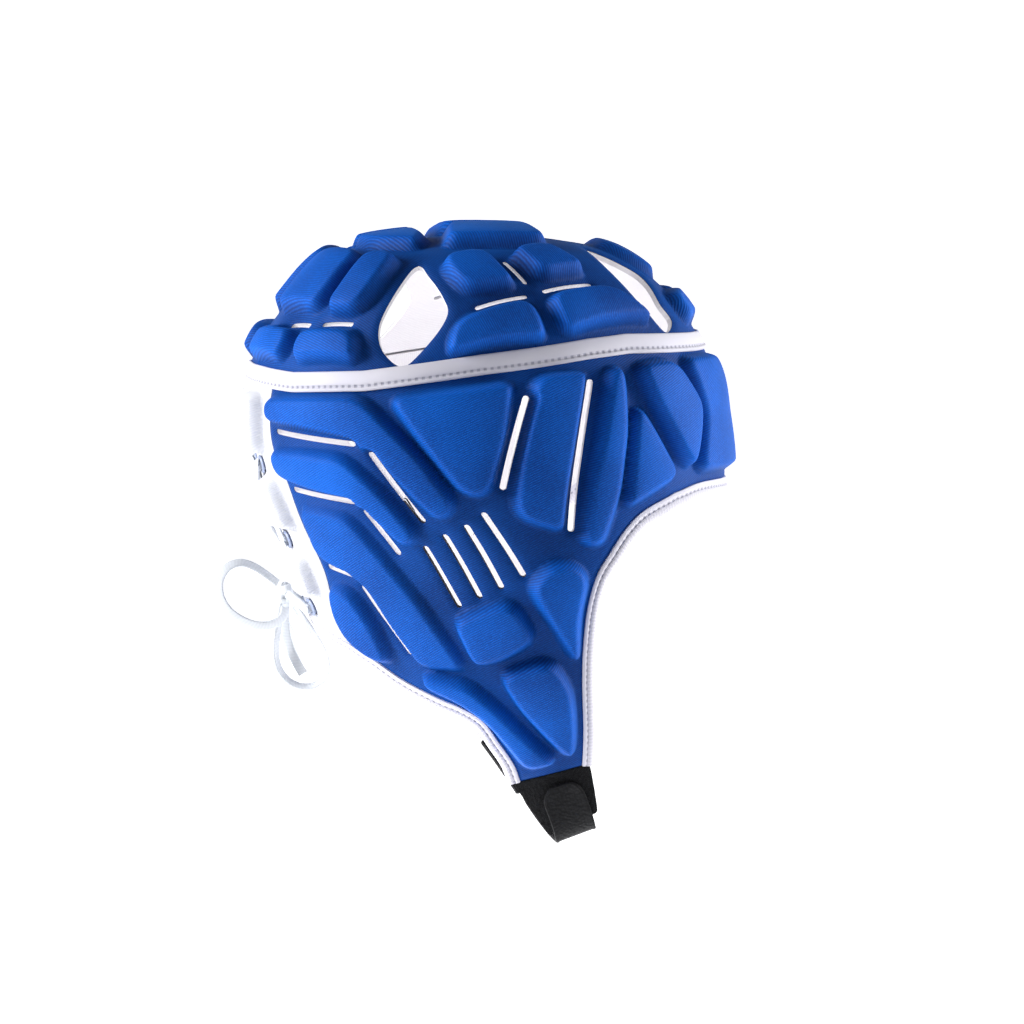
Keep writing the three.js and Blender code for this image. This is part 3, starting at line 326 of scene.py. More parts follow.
def outer_points(places):
    """Outer face of the web: at each level an oval of front and back halves,
    y = mid - half r cos(angle), x = -side r sin(angle), r = (|cos|^n + |sin|^n)^(-1/n)."""
    angle, level = np.radians(places[:, 0]), places[:, 1]
    sine, cosine = np.sin(angle), np.cos(angle)
    drop = section_value(level, 1, 1) * CAP_HEIGHT
    front, back = (section_value(level, k, -1) * CAP_LENGTH for k in (2, 3))
    side = section_value(level, 4, -1) * CAP_WIDTH
    power = np.where(cosine < 0, section_value(level, 5, 1), FRONT_POWER)
    reach = (np.abs(cosine) ** power + np.abs(sine) ** power) ** (-1 / power)
    y = (back - front) / 2 - (back + front) / 2 * reach * cosine
    return np.stack([-side * reach * sine, y, WALL - drop], axis=1)


def unit(v):
    return v / np.maximum(np.linalg.norm(v, axis=-1, keepdims=True), 1e-9)


def smooth_step(t):
    """t^2 (3 - 2t): from 0 to 1, level at both ends."""
    return t * t * (3 - 2 * t)


def outward(places):
    """Unit normal of the web: the cross product of a small turn and a small step down. At the
    apex it points up."""
    turn, step, apex = np.array([0.5, 0.0]), np.array([0.0, 0.01]), 0.02
    low = np.maximum(places, [-1e9, apex])
    around = outer_points(low + turn) - outer_points(low - turn)
    down = outer_points(low + step) - outer_points(low - step)
    normal = unit(np.cross(around, down))
    normal[places[:, 1] < apex] = [0, 0, 1]
    return normal


def sheet_points(places, height):
    """Points at a height over the outer face, along its normal."""
    places = np.asarray(places, float).reshape(-1, 2)
    return outer_points(places) + outward(places) * np.reshape(height, (-1, 1))


class SideLayout:
    """The sides unrolled: x is the angle and y the level, both in millimetres."""

    @staticmethod
    def flat(places):
        return np.asarray(places, float) * [DEGREE_RUN, LEVEL_RUN]

    @staticmethod
    def place(flat):
        return flat / [DEGREE_RUN, LEVEL_RUN]


class CrownLayout:
    """The crown opened round its apex: the level is the distance from the middle."""

    @staticmethod
    def flat(places):
        places = np.asarray(places, float)
        turn = np.radians(places[..., 0])
        return np.stack([np.sin(turn), np.cos(turn)], axis=-1) * places[..., 1:2] * LEVEL_RUN

    @staticmethod
    def place(flat):
        angle = np.degrees(np.arctan2(flat[:, 0], flat[:, 1]))
        return np.stack([angle, np.hypot(flat[:, 0], flat[:, 1]) / LEVEL_RUN], axis=1)


def band_level(angle):
    return np.interp(np.abs(angle), BAND_LINE[:, 0], BAND_LINE[:, 1])


def smooth_line(points, steps, closed=False):
    """Evenly spaced points on a Catmull-Rom curve through the given ones, in any dimension."""
    p = np.asarray(points, float)
    ends = (p[-1:], p[:1], p[1:2]) if closed else (2 * p[:1] - p[1:2], 2 * p[-1:] - p[-2:-1])
    q = np.concatenate([ends[0], p, *ends[1:]])
    u = np.linspace(0, 1, 24, endpoint=False)[:, None]
    parts = []
    for a, b, c, d in zip(q[:-3], q[1:-2], q[2:-1], q[3:]):
        parts.append(0.5 * (2 * b + (c - a) * u + (2 * a - 5 * b + 4 * c - d) * u ** 2
                            + (3 * b - a - 3 * c + d) * u ** 3))
    return even(np.concatenate([*parts, q[-2:-1]]), steps)


def even(line, steps):
    """The same polyline with steps equal spans."""
    run = distance_along(line)
    at = np.linspace(0, run[-1], steps + 1)
    return np.stack([np.interp(at, run, line[:, k]) for k in range(line.shape[1])], axis=1)


def distance_along(line):
    return np.concatenate([[0], np.cumsum(np.linalg.norm(np.diff(line, axis=0), axis=1))])


def smooth_places(places, steps):
    return SideLayout.place(smooth_line(SideLayout.flat(places), steps))


# ---- Outlines on the flat layouts ------------------------------------------------------------

def rounded_polygon(corners, reach, steps=5):
    """A polygon with each corner replaced by a parabola that starts reach before it, or half
    way along a short side."""
    p = np.asarray(corners, float)
    before, after = np.roll(p, 1, axis=0) - p, np.roll(p, -1, axis=0) - p

    def cut(v):
        return p + v * np.minimum(0.5, reach / np.linalg.norm(v, axis=1, keepdims=True))

    a, b = cut(before), cut(after)
    t = np.linspace(0, 1, steps)[None, :, None]
    curve = (1 - t) ** 2 * a[:, None] + 2 * t * (1 - t) * p[:, None] + t ** 2 * b[:, None]
    return curve.reshape(-1, 2)


def polygon_distance(points, polygon):
    """Distance to a polygon's sides, positive inside it: the least distance to any side, with
    the sign from the number of sides that a ray crosses."""
    a, b = polygon[None], np.roll(polygon, -1, axis=0)[None]
    p = points[:, None]
    side = b - a
    t = np.clip(((p - a) * side).sum(-1) / np.maximum((side ** 2).sum(-1), 1e-12), 0, 1)
    gap = np.linalg.norm(p - a - side * t[..., None], axis=-1).min(1)
    crosses = (a[..., 1] > p[..., 1]) != (b[..., 1] > p[..., 1])
    rise = np.where(side[..., 1] == 0, 1e-12, side[..., 1])
    left = p[..., 0] < a[..., 0] + side[..., 0] * (p[..., 1] - a[..., 1]) / rise
    odd = (crosses & left).sum(1) % 2 == 1
    return np.where(odd, gap, -gap)


def near_distance(points, polygon, reach):
    """polygon_distance for points within reach of the polygon's box, and -reach elsewhere."""
    low, high = polygon.min(0) - reach, polygon.max(0) + reach
    near = ((points > low) & (points < high)).all(1)
    result = np.full(len(points), -float(reach))
    if near.any():
        result[near] = polygon_distance(points[near], polygon)
    return result


def capsule_distance(points, ends, width, layout):
    """Distance outside a slit with round ends, negative in it."""
    a, b = layout.flat([ends[:2], ends[2:]])
    t = np.clip((points - a) @ (b - a) / ((b - a) ** 2).sum(), 0, 1)
    return np.linalg.norm(points - a - t[:, None] * (b - a), axis=1) - width / 2


def pad_outline(lines, layout):
    first, second = ([layout.flat(line[k:k + 2]) for line in lines] for k in (0, 2))
    return rounded_polygon(np.array(first + second[::-1]), sizes().pad_corner)


def pad_relief(points, pads, layout):
    """Height of the pads: with t the share of the flank that is passed, each rises by the mean
    of the smooth step of t, soft at the foot, and 1 - (1 - t)^2, then domes a little."""
    s = sizes()
    height = np.zeros(len(points))
    for share, lines in pads:
        d = near_distance(points, pad_outline(lines, layout), 2 * s.pad_spread) + s.pad_spread
        d = np.maximum(d, 0)
        t = np.minimum(d / s.pad_flank, 1)
        dome = 1 - (1 - np.minimum(d / (DOME_FLANKS * s.pad_flank), 1)) ** 2
        flank = (smooth_step(t) + 1 - (1 - t) ** 2) / 2
        rise = (1 - PAD_DOME) * flank + PAD_DOME * dome
        height = np.maximum(height, share * s.pad_rise * rise)
    return height


# ---- Meshes ----------------------------------------------------------------------------------

def grid_triangles(columns, rows):
    """Triangles of a grid of points. The squares are cut along either diagonal in turn."""
    i, j = np.meshgrid(np.arange(columns - 1), np.arange(rows - 1))
    a = (j * columns + i).ravel()
    b, c, d = a + 1, a + 1 + columns, a + columns
    even_cell = ((i + j) % 2 == 0).ravel()[:, None]
    one = np.where(even_cell, np.stack([a, b, c], 1), np.stack([a, b, d], 1))
    two = np.where(even_cell, np.stack([a, c, d], 1), np.stack([b, c, d], 1))
    return np.concatenate([one, two])


def from_flagged(triangles, flags):
    """Each triangle's corners in the same order, from its first flagged one."""
    first = flags.argmax(1)
    return np.take_along_axis(triangles, (first[:, None] + np.arange(3)) % 3, axis=1)


def clipped_grid(low, high, step, inside):
    """Triangles of a square grid, cut off where inside(points) passes through zero. Returns
    the flat points, the triangles and the cut sides, each with the kept part on its left."""
    x, y = (np.arange(low[k], high[k] + step, step) for k in (0, 1))
    points = np.stack(np.meshgrid(x, y), axis=-1).reshape(-1, 2)
    value = inside(points)
    triangles = grid_triangles(len(x), len(y))
    kept = value[triangles] > 0
    count = kept.sum(1)
    tips = from_flagged(triangles[count == 1], kept[count == 1])
    stumps = from_flagged(triangles[count == 2], ~kept[count == 2])
    pairs = np.concatenate([tips[:, [0, 1]], tips[:, [0, 2]], stumps[:, [0, 1]], stumps[:, [0, 2]]])
    edges, index = np.unique(np.sort(pairs, axis=1), axis=0, return_inverse=True)
    va, vb = value[edges[:, 0]], value[edges[:, 1]]
    t = (va / (va - vb))[:, None]
    cuts = points[edges[:, 0]] * (1 - t) + points[edges[:, 1]] * t
    tab, tac, sab, sac = np.split(len(points) + index.ravel(), np.cumsum([len(tips)] * 2 + [len(stumps)]))
    faces = np.concatenate([
        triangles[count == 3],
        np.stack([tips[:, 0], tab, tac], 1),
        np.stack([sab, stumps[:, 1], stumps[:, 2]], 1),
        np.stack([sab, stumps[:, 2], sac], 1),
    ])
    rim = np.concatenate([np.stack([tab, tac], 1), np.stack([sac, sab], 1)])
    used, index = np.unique(np.concatenate([faces.ravel(), rim.ravel()]), return_inverse=True)
    index = index.ravel()
    every = np.concatenate([points, cuts])
    return every[used], index[:faces.size].reshape(-1, 3), index[faces.size:].reshape(-1, 2)


def add_mesh(name, shape, materials, sharp=60):
    """A mesh object from a shape. Sides sharper than the given angle stay crisp."""
    corners = np.concatenate([part.ravel() for part in shape.faces])
    sides = np.concatenate([np.full(len(part), part.shape[1]) for part in shape.faces])
    mesh = bpy.data.meshes.new(name)
    mesh.vertices.add(len(shape.points))
    mesh.vertices.foreach_set("co", (shape.points * MM).ravel())
    mesh.loops.add(len(corners))
    mesh.loops.foreach_set("vertex_index", corners)
    mesh.polygons.add(len(sides))
    mesh.polygons.foreach_set("loop_start", np.cumsum(sides) - sides)
    mesh.update(calc_edges=True)
    for material in materials:
        mesh.materials.append(material)
    if shape.slots is not None:
        mesh.polygons.foreach_set("material_index", shape.slots.astype(np.int32))
    if shape.uv is not None:
        layer = mesh.uv_layers.new(name="Flat")
        layer.uv.foreach_set("vector", shape.uv[corners].astype(np.float32).ravel())
    if shape.depth is not None:
        values = mesh.attributes.new("Depth", "FLOAT", "POINT").data
        values.foreach_set("value", shape.depth.astype(np.float32))
    mesh.polygons.foreach_set("use_smooth", np.ones(len(sides), dtype=bool))
    mesh.set_sharp_from_angle(angle=math.radians(sharp))
    mesh.validate()
    mesh.update()
    piece = bpy.data.objects.new(name, mesh)
    bpy.context.scene.collection.objects.link(piece)
    return piece


def add_piece(name, shape, materials, node, sharp=60):
    """A mesh that stands for one solid and rides on the only body."""
    piece = add_mesh(name, shape, materials, sharp)
    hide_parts(node)
    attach(piece, "root")
    return piece


def add_pair(name, shape, materials, node, number=""):
    """The right-hand piece and its mirrored copy."""
    mirrored = shape._replace(points=shape.points * [-1, 1, 1], faces=[part[:, ::-1] for part in shape.faces])
    for side, made in (("right", shape), ("left", mirrored)):
        add_piece(f"{name}_{side}{number}", made, materials, f"{node}_{side}{number}")


def ear_foam(places):
    """1 round the four slits over the ear, where the bare foam shows deeper, and 0 elsewhere."""
    off = np.abs(places - EAR_MIDDLE) / EAR_REACH
    return (off.max(1) < 1).astype(float)


def cloth_wave(flat):
    """Slack in the cloth: a product of sines, about 60 by 45 mm from crest to crest."""
    x, y = flat.T
    return CLOTH_WAVE * np.sin(x / 9.1 + 1.3 * np.sin(y / 13)) * np.sin(y / 7.3)


def padded_sheet(low, high, inside, relief, layout):
    """Outer face with the pads' relief, inner face at the wall's depth, and walls along every
    cut: bare foam near the outer face, then the lining that is turned in. The outer face and
    the pads run down just before a cut."""
    flat, faces, rim = clipped_grid(low, high, sizes().mesh_step, inside)
    near = np.clip(inside(flat) / CUT_FALL, 0, 1)
    height = relief(flat) * smooth_step(near)
    places = layout.place(flat)
    outer = sheet_points(places, height - CUT_ROLL * (1 - near) ** 2 + cloth_wave(flat))
    middle = sheet_points(places, -WALL * (FOAM_SHARE + EAR_FOAM_SHARE * ear_foam(places)))
    inner = sheet_points(places, -WALL)
    n = len(flat)
    a, b = rim.T
    walls = [(b, a, a + n), (b, a + n, b + n), (b + n, a + n, a + 2 * n), (b + n, a + 2 * n, b + 2 * n)]
    every = np.concatenate([faces, *[np.stack(wall, 1) for wall in walls], faces[:, ::-1] + 2 * n])
    used, index = np.unique(every.ravel(), return_inverse=True)
    return Shape(
        points=np.concatenate([outer, middle, inner])[used],
        faces=[index.reshape(-1, 3)],
        slots=np.repeat([0, 1, 2], [len(faces), 2 * len(rim), 2 * len(rim) + len(faces)]),
        uv=np.tile(flat, (3, 1))[used] * MM,
        # The depth also drives the knit's painted shade between the pads.
        depth=np.concatenate([height / sizes().pad_rise, np.ones(2 * n)])[used],
    )


def sweep(path, across, out, profiles, closed=False):
    """A tube: at each point of the path, its profile's pairs are carried along the across and
    out directions. Ends are closed by the profile's own polygon."""
    profiles = np.broadcast_to(profiles, (len(path), *np.shape(profiles)[-2:]))
    points = path[:, None] + across[:, None] * profiles[..., :1] + out[:, None] * profiles[..., 1:]
    points = points.reshape(-1, 3)
    n, m = profiles.shape[:2]
    i, j = np.meshgrid(np.arange(n if closed else n - 1), np.arange(m), indexing="ij")
    k, after = (j + 1) % m, (i + 1) % n
    faces = [np.stack([i * m + j, i * m + k, after * m + k, after * m + j], axis=-1).reshape(-1, 4)]
    if not closed:
        faces.append(np.stack([np.arange(m)[::-1], (n - 1) * m + np.arange(m)]))
    width = profiles[..., 0] - profiles[..., 0].min(1, keepdims=True)
    share = width / np.maximum(width.max(1, keepdims=True), 1e-6)
    run = np.broadcast_to(distance_along(path)[:, None], (n, m))
    return Shape(points, outwards(points, faces), uv=np.stack([run * MM, share], axis=-1).reshape(-1, 2))


def outwards(points, faces):
    """The faces turned round if the volume under them, the sum of a.(b x c)/6, is negative."""
    fans = np.concatenate([part[:, [0, i, i + 1]] for part in faces for i in range(1, part.shape[1] - 1)])
    a, b, c = (points[fans[:, k]] - points.mean(0) for k in range(3))
    volume = (a * np.cross(b, c)).sum()
    return faces if volume > 0 else [part[:, ::-1] for part in faces]


def tangents(path, closed=False):
    """Unit vectors along a path."""
    if closed:
        return unit(np.roll(path, -1, axis=0) - np.roll(path, 1, axis=0))
    return unit(np.gradient(path, axis=0))


def on_sheet(places, height, closed=False):
    """A path over the sheet, with its unit vectors across, along x normal, and outward."""
    path, normal = sheet_points(places, height), outward(places)
    return path, unit(np.cross(tangents(path, closed), normal)), normal


# ---- Materials -------------------------------------------------------------------------------

def connect(tree, node, inputs):
    """Links each input that is given a socket, and sets each that is given a value."""
    for key, value in inputs.items():
        if isinstance(value, bpy.types.NodeSocket):
            tree.links.new(value, node.inputs[key])
        else:
            node.inputs[key].default_value = value


def add_node(tree, kind, inputs=None, **settings):
    """Adds a node, sets its attributes, and links or sets its inputs."""
    node = tree.nodes.new(kind)
    for key, value in settings.items():
        setattr(node, key, value)
    connect(tree, node, inputs or {})
    return node


def new_material(name):
    material = bpy.data.materials.new(name)
    material.use_nodes = True
    tree = material.node_tree
    return material, tree, tree.nodes["Principled BSDF"]


def mapped(tree, angle=0.0, source="UV", scale=(1, 1, 1)):
    turn = (0, 0, math.radians(angle))
    coordinates = add_node(tree, "ShaderNodeTexCoord").outputs[source]
    inputs = {"Vector": coordinates, "Rotation": turn, "Scale": scale}
    return add_node(tree, "ShaderNodeMapping", inputs).outputs["Vector"]


def wave(tree, vector, spacing_mm, inputs=None, bands="X"):
    """Bands at a spacing in millimetres. The Wave texture repeats every pi/10 of its scaled
    coordinate, which is in metres here."""
    inputs = {"Vector": vector, "Scale": math.pi / 10 / (spacing_mm * MM), **(inputs or {})}
    return add_node(tree, "ShaderNodeTexWave", inputs, bands_direction=bands).outputs["Fac"]


def noise(tree, size_mm, detail=2.0, roughness=0.5):
    """Soft spots of about the given size, fixed to the object."""
    inputs = {"Vector": mapped(tree, source="Object"), "Scale": 1 / (size_mm * MM),
              "Detail": detail, "Roughness": roughness}
    return add_node(tree, "ShaderNodeTexNoise", inputs).outputs["Fac"]


def cells(tree, size_mm):
    """Distance to the middle of each of many small cells, fixed to the object."""
    inputs = {"Vector": mapped(tree, source="Object"), "Scale": 1 / (size_mm * MM)}
    return add_node(tree, "ShaderNodeTexVoronoi", inputs).outputs["Distance"]


def calculate(tree, operation, first, second=0.0):
    return add_node(tree, "ShaderNodeMath", {0: first, 1: second}, operation=operation).outputs[0]


def remap(tree, value, low, high, to_low=0.0, to_high=1.0, curve="LINEAR"):
    """The value moved from one range to another, and held within it."""
    inputs = {"Value": value, "From Min": low, "From Max": high, "To Min": to_low, "To Max": to_high}
    return add_node(tree, "ShaderNodeMapRange", inputs, interpolation_type=curve).outputs["Result"]


def mix_colours(tree, factor, low, high):
    inputs = {"Factor": factor, "A": low, "B": high}
    return add_node(tree, "ShaderNodeMix", inputs, data_type="RGBA").outputs["Result"]


def bump(tree, height, strength, distance_mm, base=None):
    inputs = {"Height": height, "Strength": strength, "Distance": distance_mm * MM}
    if base is not None:
        inputs["Normal"] = base
    return add_node(tree, "ShaderNodeBump", inputs).outputs["Normal"]


def knit(name, light, shade, angle=62, tint=(1, 1, 1, 1), groove=1.0):
    """Knitted polyester: fine parallel wales that catch the light, with a short soft nap. The
    wales of the real knit, about 0.5 mm apart, are drawn 0.8 mm apart so that they show.
    Between the pads the colour is darkened as painted shade, down to the share groove of its light."""
    material, tree, shader = new_material(name)
    wales = wave(tree, mapped(tree, angle), 0.8, {"Distortion": 1.2, "Detail": 2.0, "Detail Scale": 1.5})
    nap = noise(tree, 1.3, 3.0, 0.6)
    tone = calculate(tree, "ADD", calculate(tree, "MULTIPLY", wales, nap), noise(tree, 38))
    cloth = mix_colours(tree, remap(tree, tone, 0.42, 1.1), shade, light)
    # Painted shade: the colour is darkened where the pads' Depth is low, in the grooves between them, down to
    # the share groove.
    depth = add_node(tree, "ShaderNodeAttribute", attribute_name="Depth").outputs["Fac"]
    groove_shade = remap(tree, depth, 0, 0.85, groove, 1, curve="SMOOTHSTEP")
    shaded_cloth = add_node(tree, "ShaderNodeVectorMath", {0: cloth, 1: groove_shade}, operation="MULTIPLY")
    connect(tree, shader, {
        "Base Color": shaded_cloth.outputs["Vector"],
        "Normal": bump(tree, nap, 0.25, 0.2, bump(tree, wales, 0.35, 0.25)),
        "Roughness": 0.6,
        "Sheen Weight": 0.12,
        "Sheen Roughness": 0.4,
        "Sheen Tint": tint,
        "Specular IOR Level": 0.14,
    })
    return material


def foam_edge(name):
    """EVA foam where the knife has cut it: dark and finely cellular."""
    material, tree, shader = new_material(name)
    cell = cells(tree, 0.9)
    connect(tree, shader, {
        "Base Color": mix_colours(tree, cell, colour("foam_cell"), colour("foam")),
        "Normal": bump(tree, cell, 0.4, 0.2),
        "Roughness": 0.9,
    })
    return material


def stitched_tape(name, stitch_at, rib_mm, ribbed_from):
    """Knitted binding tape: its ribs run across it, and one sewn line sinks into it at the
    share stitch_at of its width, with a dark needle hole between every two stitches."""
    material, tree, shader = new_material(name)
    uv = add_node(tree, "ShaderNodeTexCoord").outputs["UV"]
    width = add_node(tree, "ShaderNodeSeparateXYZ", {"Vector": uv}).outputs["Y"]
    off = calculate(tree, "ABSOLUTE", calculate(tree, "SUBTRACT", width, stitch_at))
    holes = remap(tree, wave(tree, uv, 2.8), 0.25, 0.6, 1, 0.25)
    sewn = calculate(tree, "MULTIPLY", remap(tree, off, 0.035, 0.1, 1, 0), holes)
    ribbed = remap(tree, width, ribbed_from - 0.04, ribbed_from + 0.04)
    ribs = calculate(tree, "MULTIPLY", ribbed, wave(tree, uv, rib_mm, {"Distortion": 0.4}))
    tape = mix_colours(tree, ribs, colour("binding"), shaded("binding", 0.86))
    sunk = bump(tree, sewn, 0.6, -0.4, bump(tree, ribs, 0.3, -0.2))
    connect(tree, shader, {
        "Base Color": mix_colours(tree, sewn, tape, colour("thread")),
        "Normal": bump(tree, noise(tree, 0.9, 3.0), 0.25, 0.15, sunk),
        "Roughness": 0.85,
        "Sheen Weight": 0.3,
    })
    return material


def loop_pile(name):
    """Loop side of hook-and-loop tape: black nylon loops that stand up as a matt fuzz."""
    material, tree, shader = new_material(name)
    pile = noise(tree, 1.1, 6.0, 0.8)
    connect(tree, shader, {
        "Base Color": mix_colours(tree, remap(tree, pile, 0.4, 0.68), colour("black"), colour("loop_tip")),
        "Normal": bump(tree, pile, 1.0, 0.8),
        "Roughness": 0.95,
        "Sheen Weight": 0.06,
        "Specular IOR Level": 0.1,
    })
    return material


def hook_tape(name):
    """Hook side of hook-and-loop tape on webbing: rows of fine stiff hooks, faintly glossy."""
    material, tree, shader = new_material(name)
    hooks = cells(tree, 1.2)
    connect(tree, shader, {
        "Base Color": mix_colours(tree, hooks, colour("hook_gap"), colour("strap")),
        "Normal": bump(tree, hooks, 0.6, -0.4),
        "Roughness": 0.8,
        "Specular IOR Level": 0.15,
    })
    return material


def woven_lace(name):
    """Flat woven polyester lace: a herringbone of fine threads, bright and soft."""
    material, tree, shader = new_material(name)
    weave = wave(tree, mapped(tree, scale=(1, 0.0015, 1)), 0.7, {"Distortion": 0.8}, "DIAGONAL")
    connect(tree, shader, {
        "Base Color": mix_colours(tree, weave, shaded("lace", 0.94), colour("lace")),
        "Normal": bump(tree, weave, 0.12, 0.1),
        "Roughness": 0.8,
    })
    return material


def moulded_ring(name):
    """Moulded nylon eyelet: smooth, satin, blue-grey."""
    material, tree, shader = new_material(name)
    connect(tree, shader, {
        "Base Color": mix_colours(tree, noise(tree, 2), shaded("eyelet", 0.8), colour("eyelet")),
        "Roughness": 0.35,
    })
    return material


def paper_floor(name):
    """Matt paper that glows like a light table, and fades out in front of the cap."""
    material, tree, shader = new_material(name)
    position = mapped(tree, 270 - CAMERA_AZIMUTH, source="Object")
    ahead = add_node(tree, "ShaderNodeSeparateXYZ", {"Vector": position}).outputs["X"]
    connect(tree, shader, {
        "Base Color": mix_colours(tree, noise(tree, FLOOR_GRAIN), shaded("floor", 0.985), colour("floor")),
        "Roughness": 0.95,
        "Emission Color": colour("floor"),
        "Emission Strength": remap(tree, ahead, *GLOW_RUN, *GLOW),
    })
    return material


MATERIALS = {
    # groove: the share of its colour that the painted shade leaves between the pads.
    "Blue knitted polyester": lambda name: knit(name, colour("knit"), colour("knit_shade"),
                                                tint=colour("knit_sheen"), groove=0.57),
    "White knitted polyester": lambda name: knit(name, colour("white"), colour("white_shade"), groove=0.85),
    "Pale knitted lining": lambda name: knit(name, colour("lining"), colour("lining_shade"), angle=0),
    "Cut EVA foam": foam_edge,
    "Sewn knitted tape": lambda name: stitched_tape(name, 0.24, 1.0, 1.2),
    "Ribbed binding": lambda name: stitched_tape(name, 0.33, 1.5, 0.42),
    "Nylon loop pile": loop_pile,
    "Nylon hook tape": hook_tape,
    "Woven polyester lace": woven_lace,
    "Moulded nylon eyelet": moulded_ring,
    "Matt paper floor": paper_floor,
}


def shared(*names):
    """The named materials. Each is made when it is first asked for."""
    return [bpy.data.materials.get(name) or MATERIALS[name](name) for name in names]


# ---- Operators -------------------------------------------------------------------------------

def camera_back(azimuth, elevation):
    """Unit vector from the cap to a camera at that azimuth and elevation."""
    a, e = math.radians(azimuth), math.radians(elevation)
    return Vector((math.sin(a) * math.cos(e), -math.cos(a) * math.cos(e), math.sin(e)))


class CAP_OT_camera(bpy.types.Operator):
    """Adds the camera at the photograph's angle: the wearer's right side, a little behind."""

    bl_idname = "scrum_cap.camera"
    bl_label = "Camera"

    def execute(self, context):
        back = camera_back(CAMERA_AZIMUTH, CAMERA_ELEVATION)
        data = bpy.data.cameras.new("Camera")
        data.sensor_width = 36
        data.lens = 36 * CAMERA_DISTANCE / FRAME_WIDTH
        data.shift_x, data.shift_y = CAMERA_SHIFT
        data.clip_start, data.clip_end = 0.1, 30
        camera = bpy.data.objects.new("Camera", data)
        camera.location = Vector(CAMERA_TARGET) + back * CAMERA_DISTANCE
        camera.rotation_euler = back.to_track_quat("Z", "Y").to_euler()
        context.scene.collection.objects.link(camera)
        context.scene.camera = camera
        return {"FINISHED"}


def knot_centre():
    return sheet_points([[180, KNOT_LEVEL]], KNOT_HEIGHT)[0]


def ribbon(path, along, across, width, thick, closed=False):
    """A flat lace along a path, with half-round edges."""
    turn = np.linspace(-math.pi / 2, math.pi / 2, 7)
    edge = np.stack([width / 2 - thick / 2 + thick / 2 * np.cos(turn), thick / 2 * np.sin(turn)], axis=1)
    return sweep(path, across, np.cross(across, along), np.concatenate([edge, -edge]), closed)


def knot_shape():
    """A trefoil, the closed form of an overhand knot, pulled tight round its middle:
    x = sin t + p sin 2t, y = -sin 3t and z = cos t - p cos 2t, each times its reach."""
    turn = np.linspace(0, 2 * math.pi, 160, endpoint=False)
    x = np.sin(turn) + KNOT_PULL * np.sin(2 * turn)
    z = np.cos(turn) - KNOT_PULL * np.cos(2 * turn)
    loop = np.stack([x, -np.sin(3 * turn), z], axis=1) * KNOT_REACH
    path = knot_centre() + loop
    along = tangents(path, closed=True)
    across = unit(np.cross(along, unit(loop + 1e-6)))
    return ribbon(path, along, across, KNOT_WIDTH, KNOT_THICK, closed=True)


def carried(along, start):
    """Carries a width direction along a path with no twist of its own: at each step the part
    along the path is taken away."""
    across = [unit(start - along[0] * (start @ along[0]))]
    for direction in along[1:]:
        last = across[-1]
        across.append(unit(last - direction * (last @ direction)))
    return np.array(across)


def free_run(route, hint, tilt):
    """Path and shape of one flat run of the lace, tilted in degrees from its width hint."""
    s = sizes()
    path = smooth_line(route, 90) + knot_centre()
    along = tangents(path)
    across = carried(along, np.array(hint, float))
    turn = math.radians(tilt)
    across = across * math.cos(turn) + np.cross(across, along) * math.sin(turn)
    return path, ribbon(path, along, across, s.lace_width, s.lace_thick)


class CAP_OT_free_lace(bpy.types.Operator):
    """Adds the knot, its two bow loops and the two ends of the lace."""

    bl_idname = "scrum_cap.free_lace"
    bl_label = "Free lace"

    def execute(self, context):
        material = shared("Woven polyester lace")
        knot = add_piece("bow_knot", knot_shape(), material, "lace_knot")
        for name, route, hint, tilt, node, far_end in FREE_LACE:
            path, shape = free_run(route, hint, tilt)
            piece = add_piece(name, shape, material, node)
        return {"FINISHED"}


def through(hole, leaving):
    """Four stops [angle, level, height] through an eyelet, out of the panel or back into it."""
    heights = [LACE_INSIDE, LACE_INSIDE + LACE_TURN, LACE_LIFT - LACE_TURN, LACE_LIFT]
    return [[*hole, height] for height in (heights if leaving else heights[::-1])]


def held_stops():
    """The held lace from the right end of the knot to its left: in at a low eyelet, up through
    the middle ones to the top, and back down the other way."""
    top, middle, low = LACE_HOLES
    left_top, left_middle, left_low = ([360 - angle, level] for angle, level in LACE_HOLES)
    upper, lower = (top[1] + middle[1]) / 2, (middle[1] + low[1]) / 2
    return np.array([
        *through(low, False), [180, lower, LACE_INSIDE], *through(left_middle, True),
        [180, upper, LACE_LIFT + LACE_CROSS], *through(top, False), [180, top[1], LACE_INSIDE],
        *through(left_top, True), [180, upper, LACE_LIFT - LACE_CROSS / 2], *through(middle, False),
        [180, lower, LACE_INSIDE - LACE_CROSS], *through(left_low, True),
    ])


class CAP_OT_held_lace(bpy.types.Operator):
    """Adds the stretch of lace that is held in the eyelets, crossed between the nape panels."""

    bl_idname = "scrum_cap.held_lace"
    bl_label = "Held lace"

    def execute(self, context):
        s = sizes()
        stops = held_stops()
        right = knot_centre() - [KNOT_SIDE, 0, 0]
        route = [right, *sheet_points(stops[:, :2], stops[:, 2]), right * [-1, 1, 1]]
        path = smooth_line(route, 420)
        along = tangents(path)
        up = np.array([0, 0.2, 1.0])
        across = unit(up - along * (along @ up)[:, None])
        shape = ribbon(path, along, across, s.lace_width, s.lace_thick)
        add_piece("held_lace", shape, shared("Woven polyester lace"), "nape_lace")
        return {"FINISHED"}


def folded(flat):
    """Points of the crown's layout, with its left half folded onto the right."""
    return np.stack([np.abs(flat[:, 0]), flat[:, 1]], axis=1)


def crown_inside(flat):
    """Distance inside the crown: above the tape, and clear of the openings and the slits."""
    half = folded(flat)
    places = CrownLayout.place(half)
    value = (band_level(places[:, 0]) - places[:, 1]) * LEVEL_RUN - BAND_GAP / 2
    for opening in (REAR_OPENING, FRONT_OPENING):
        line = smooth_line(CrownLayout.flat(opening), 60, closed=True)[:-1]
        value = np.minimum(value, -near_distance(half, line, OPENING_REACH))
    for slit in CROWN_SLITS:
        value = np.minimum(value, capsule_distance(half, slit, sizes().crown_slit_width, CrownLayout))
    return value


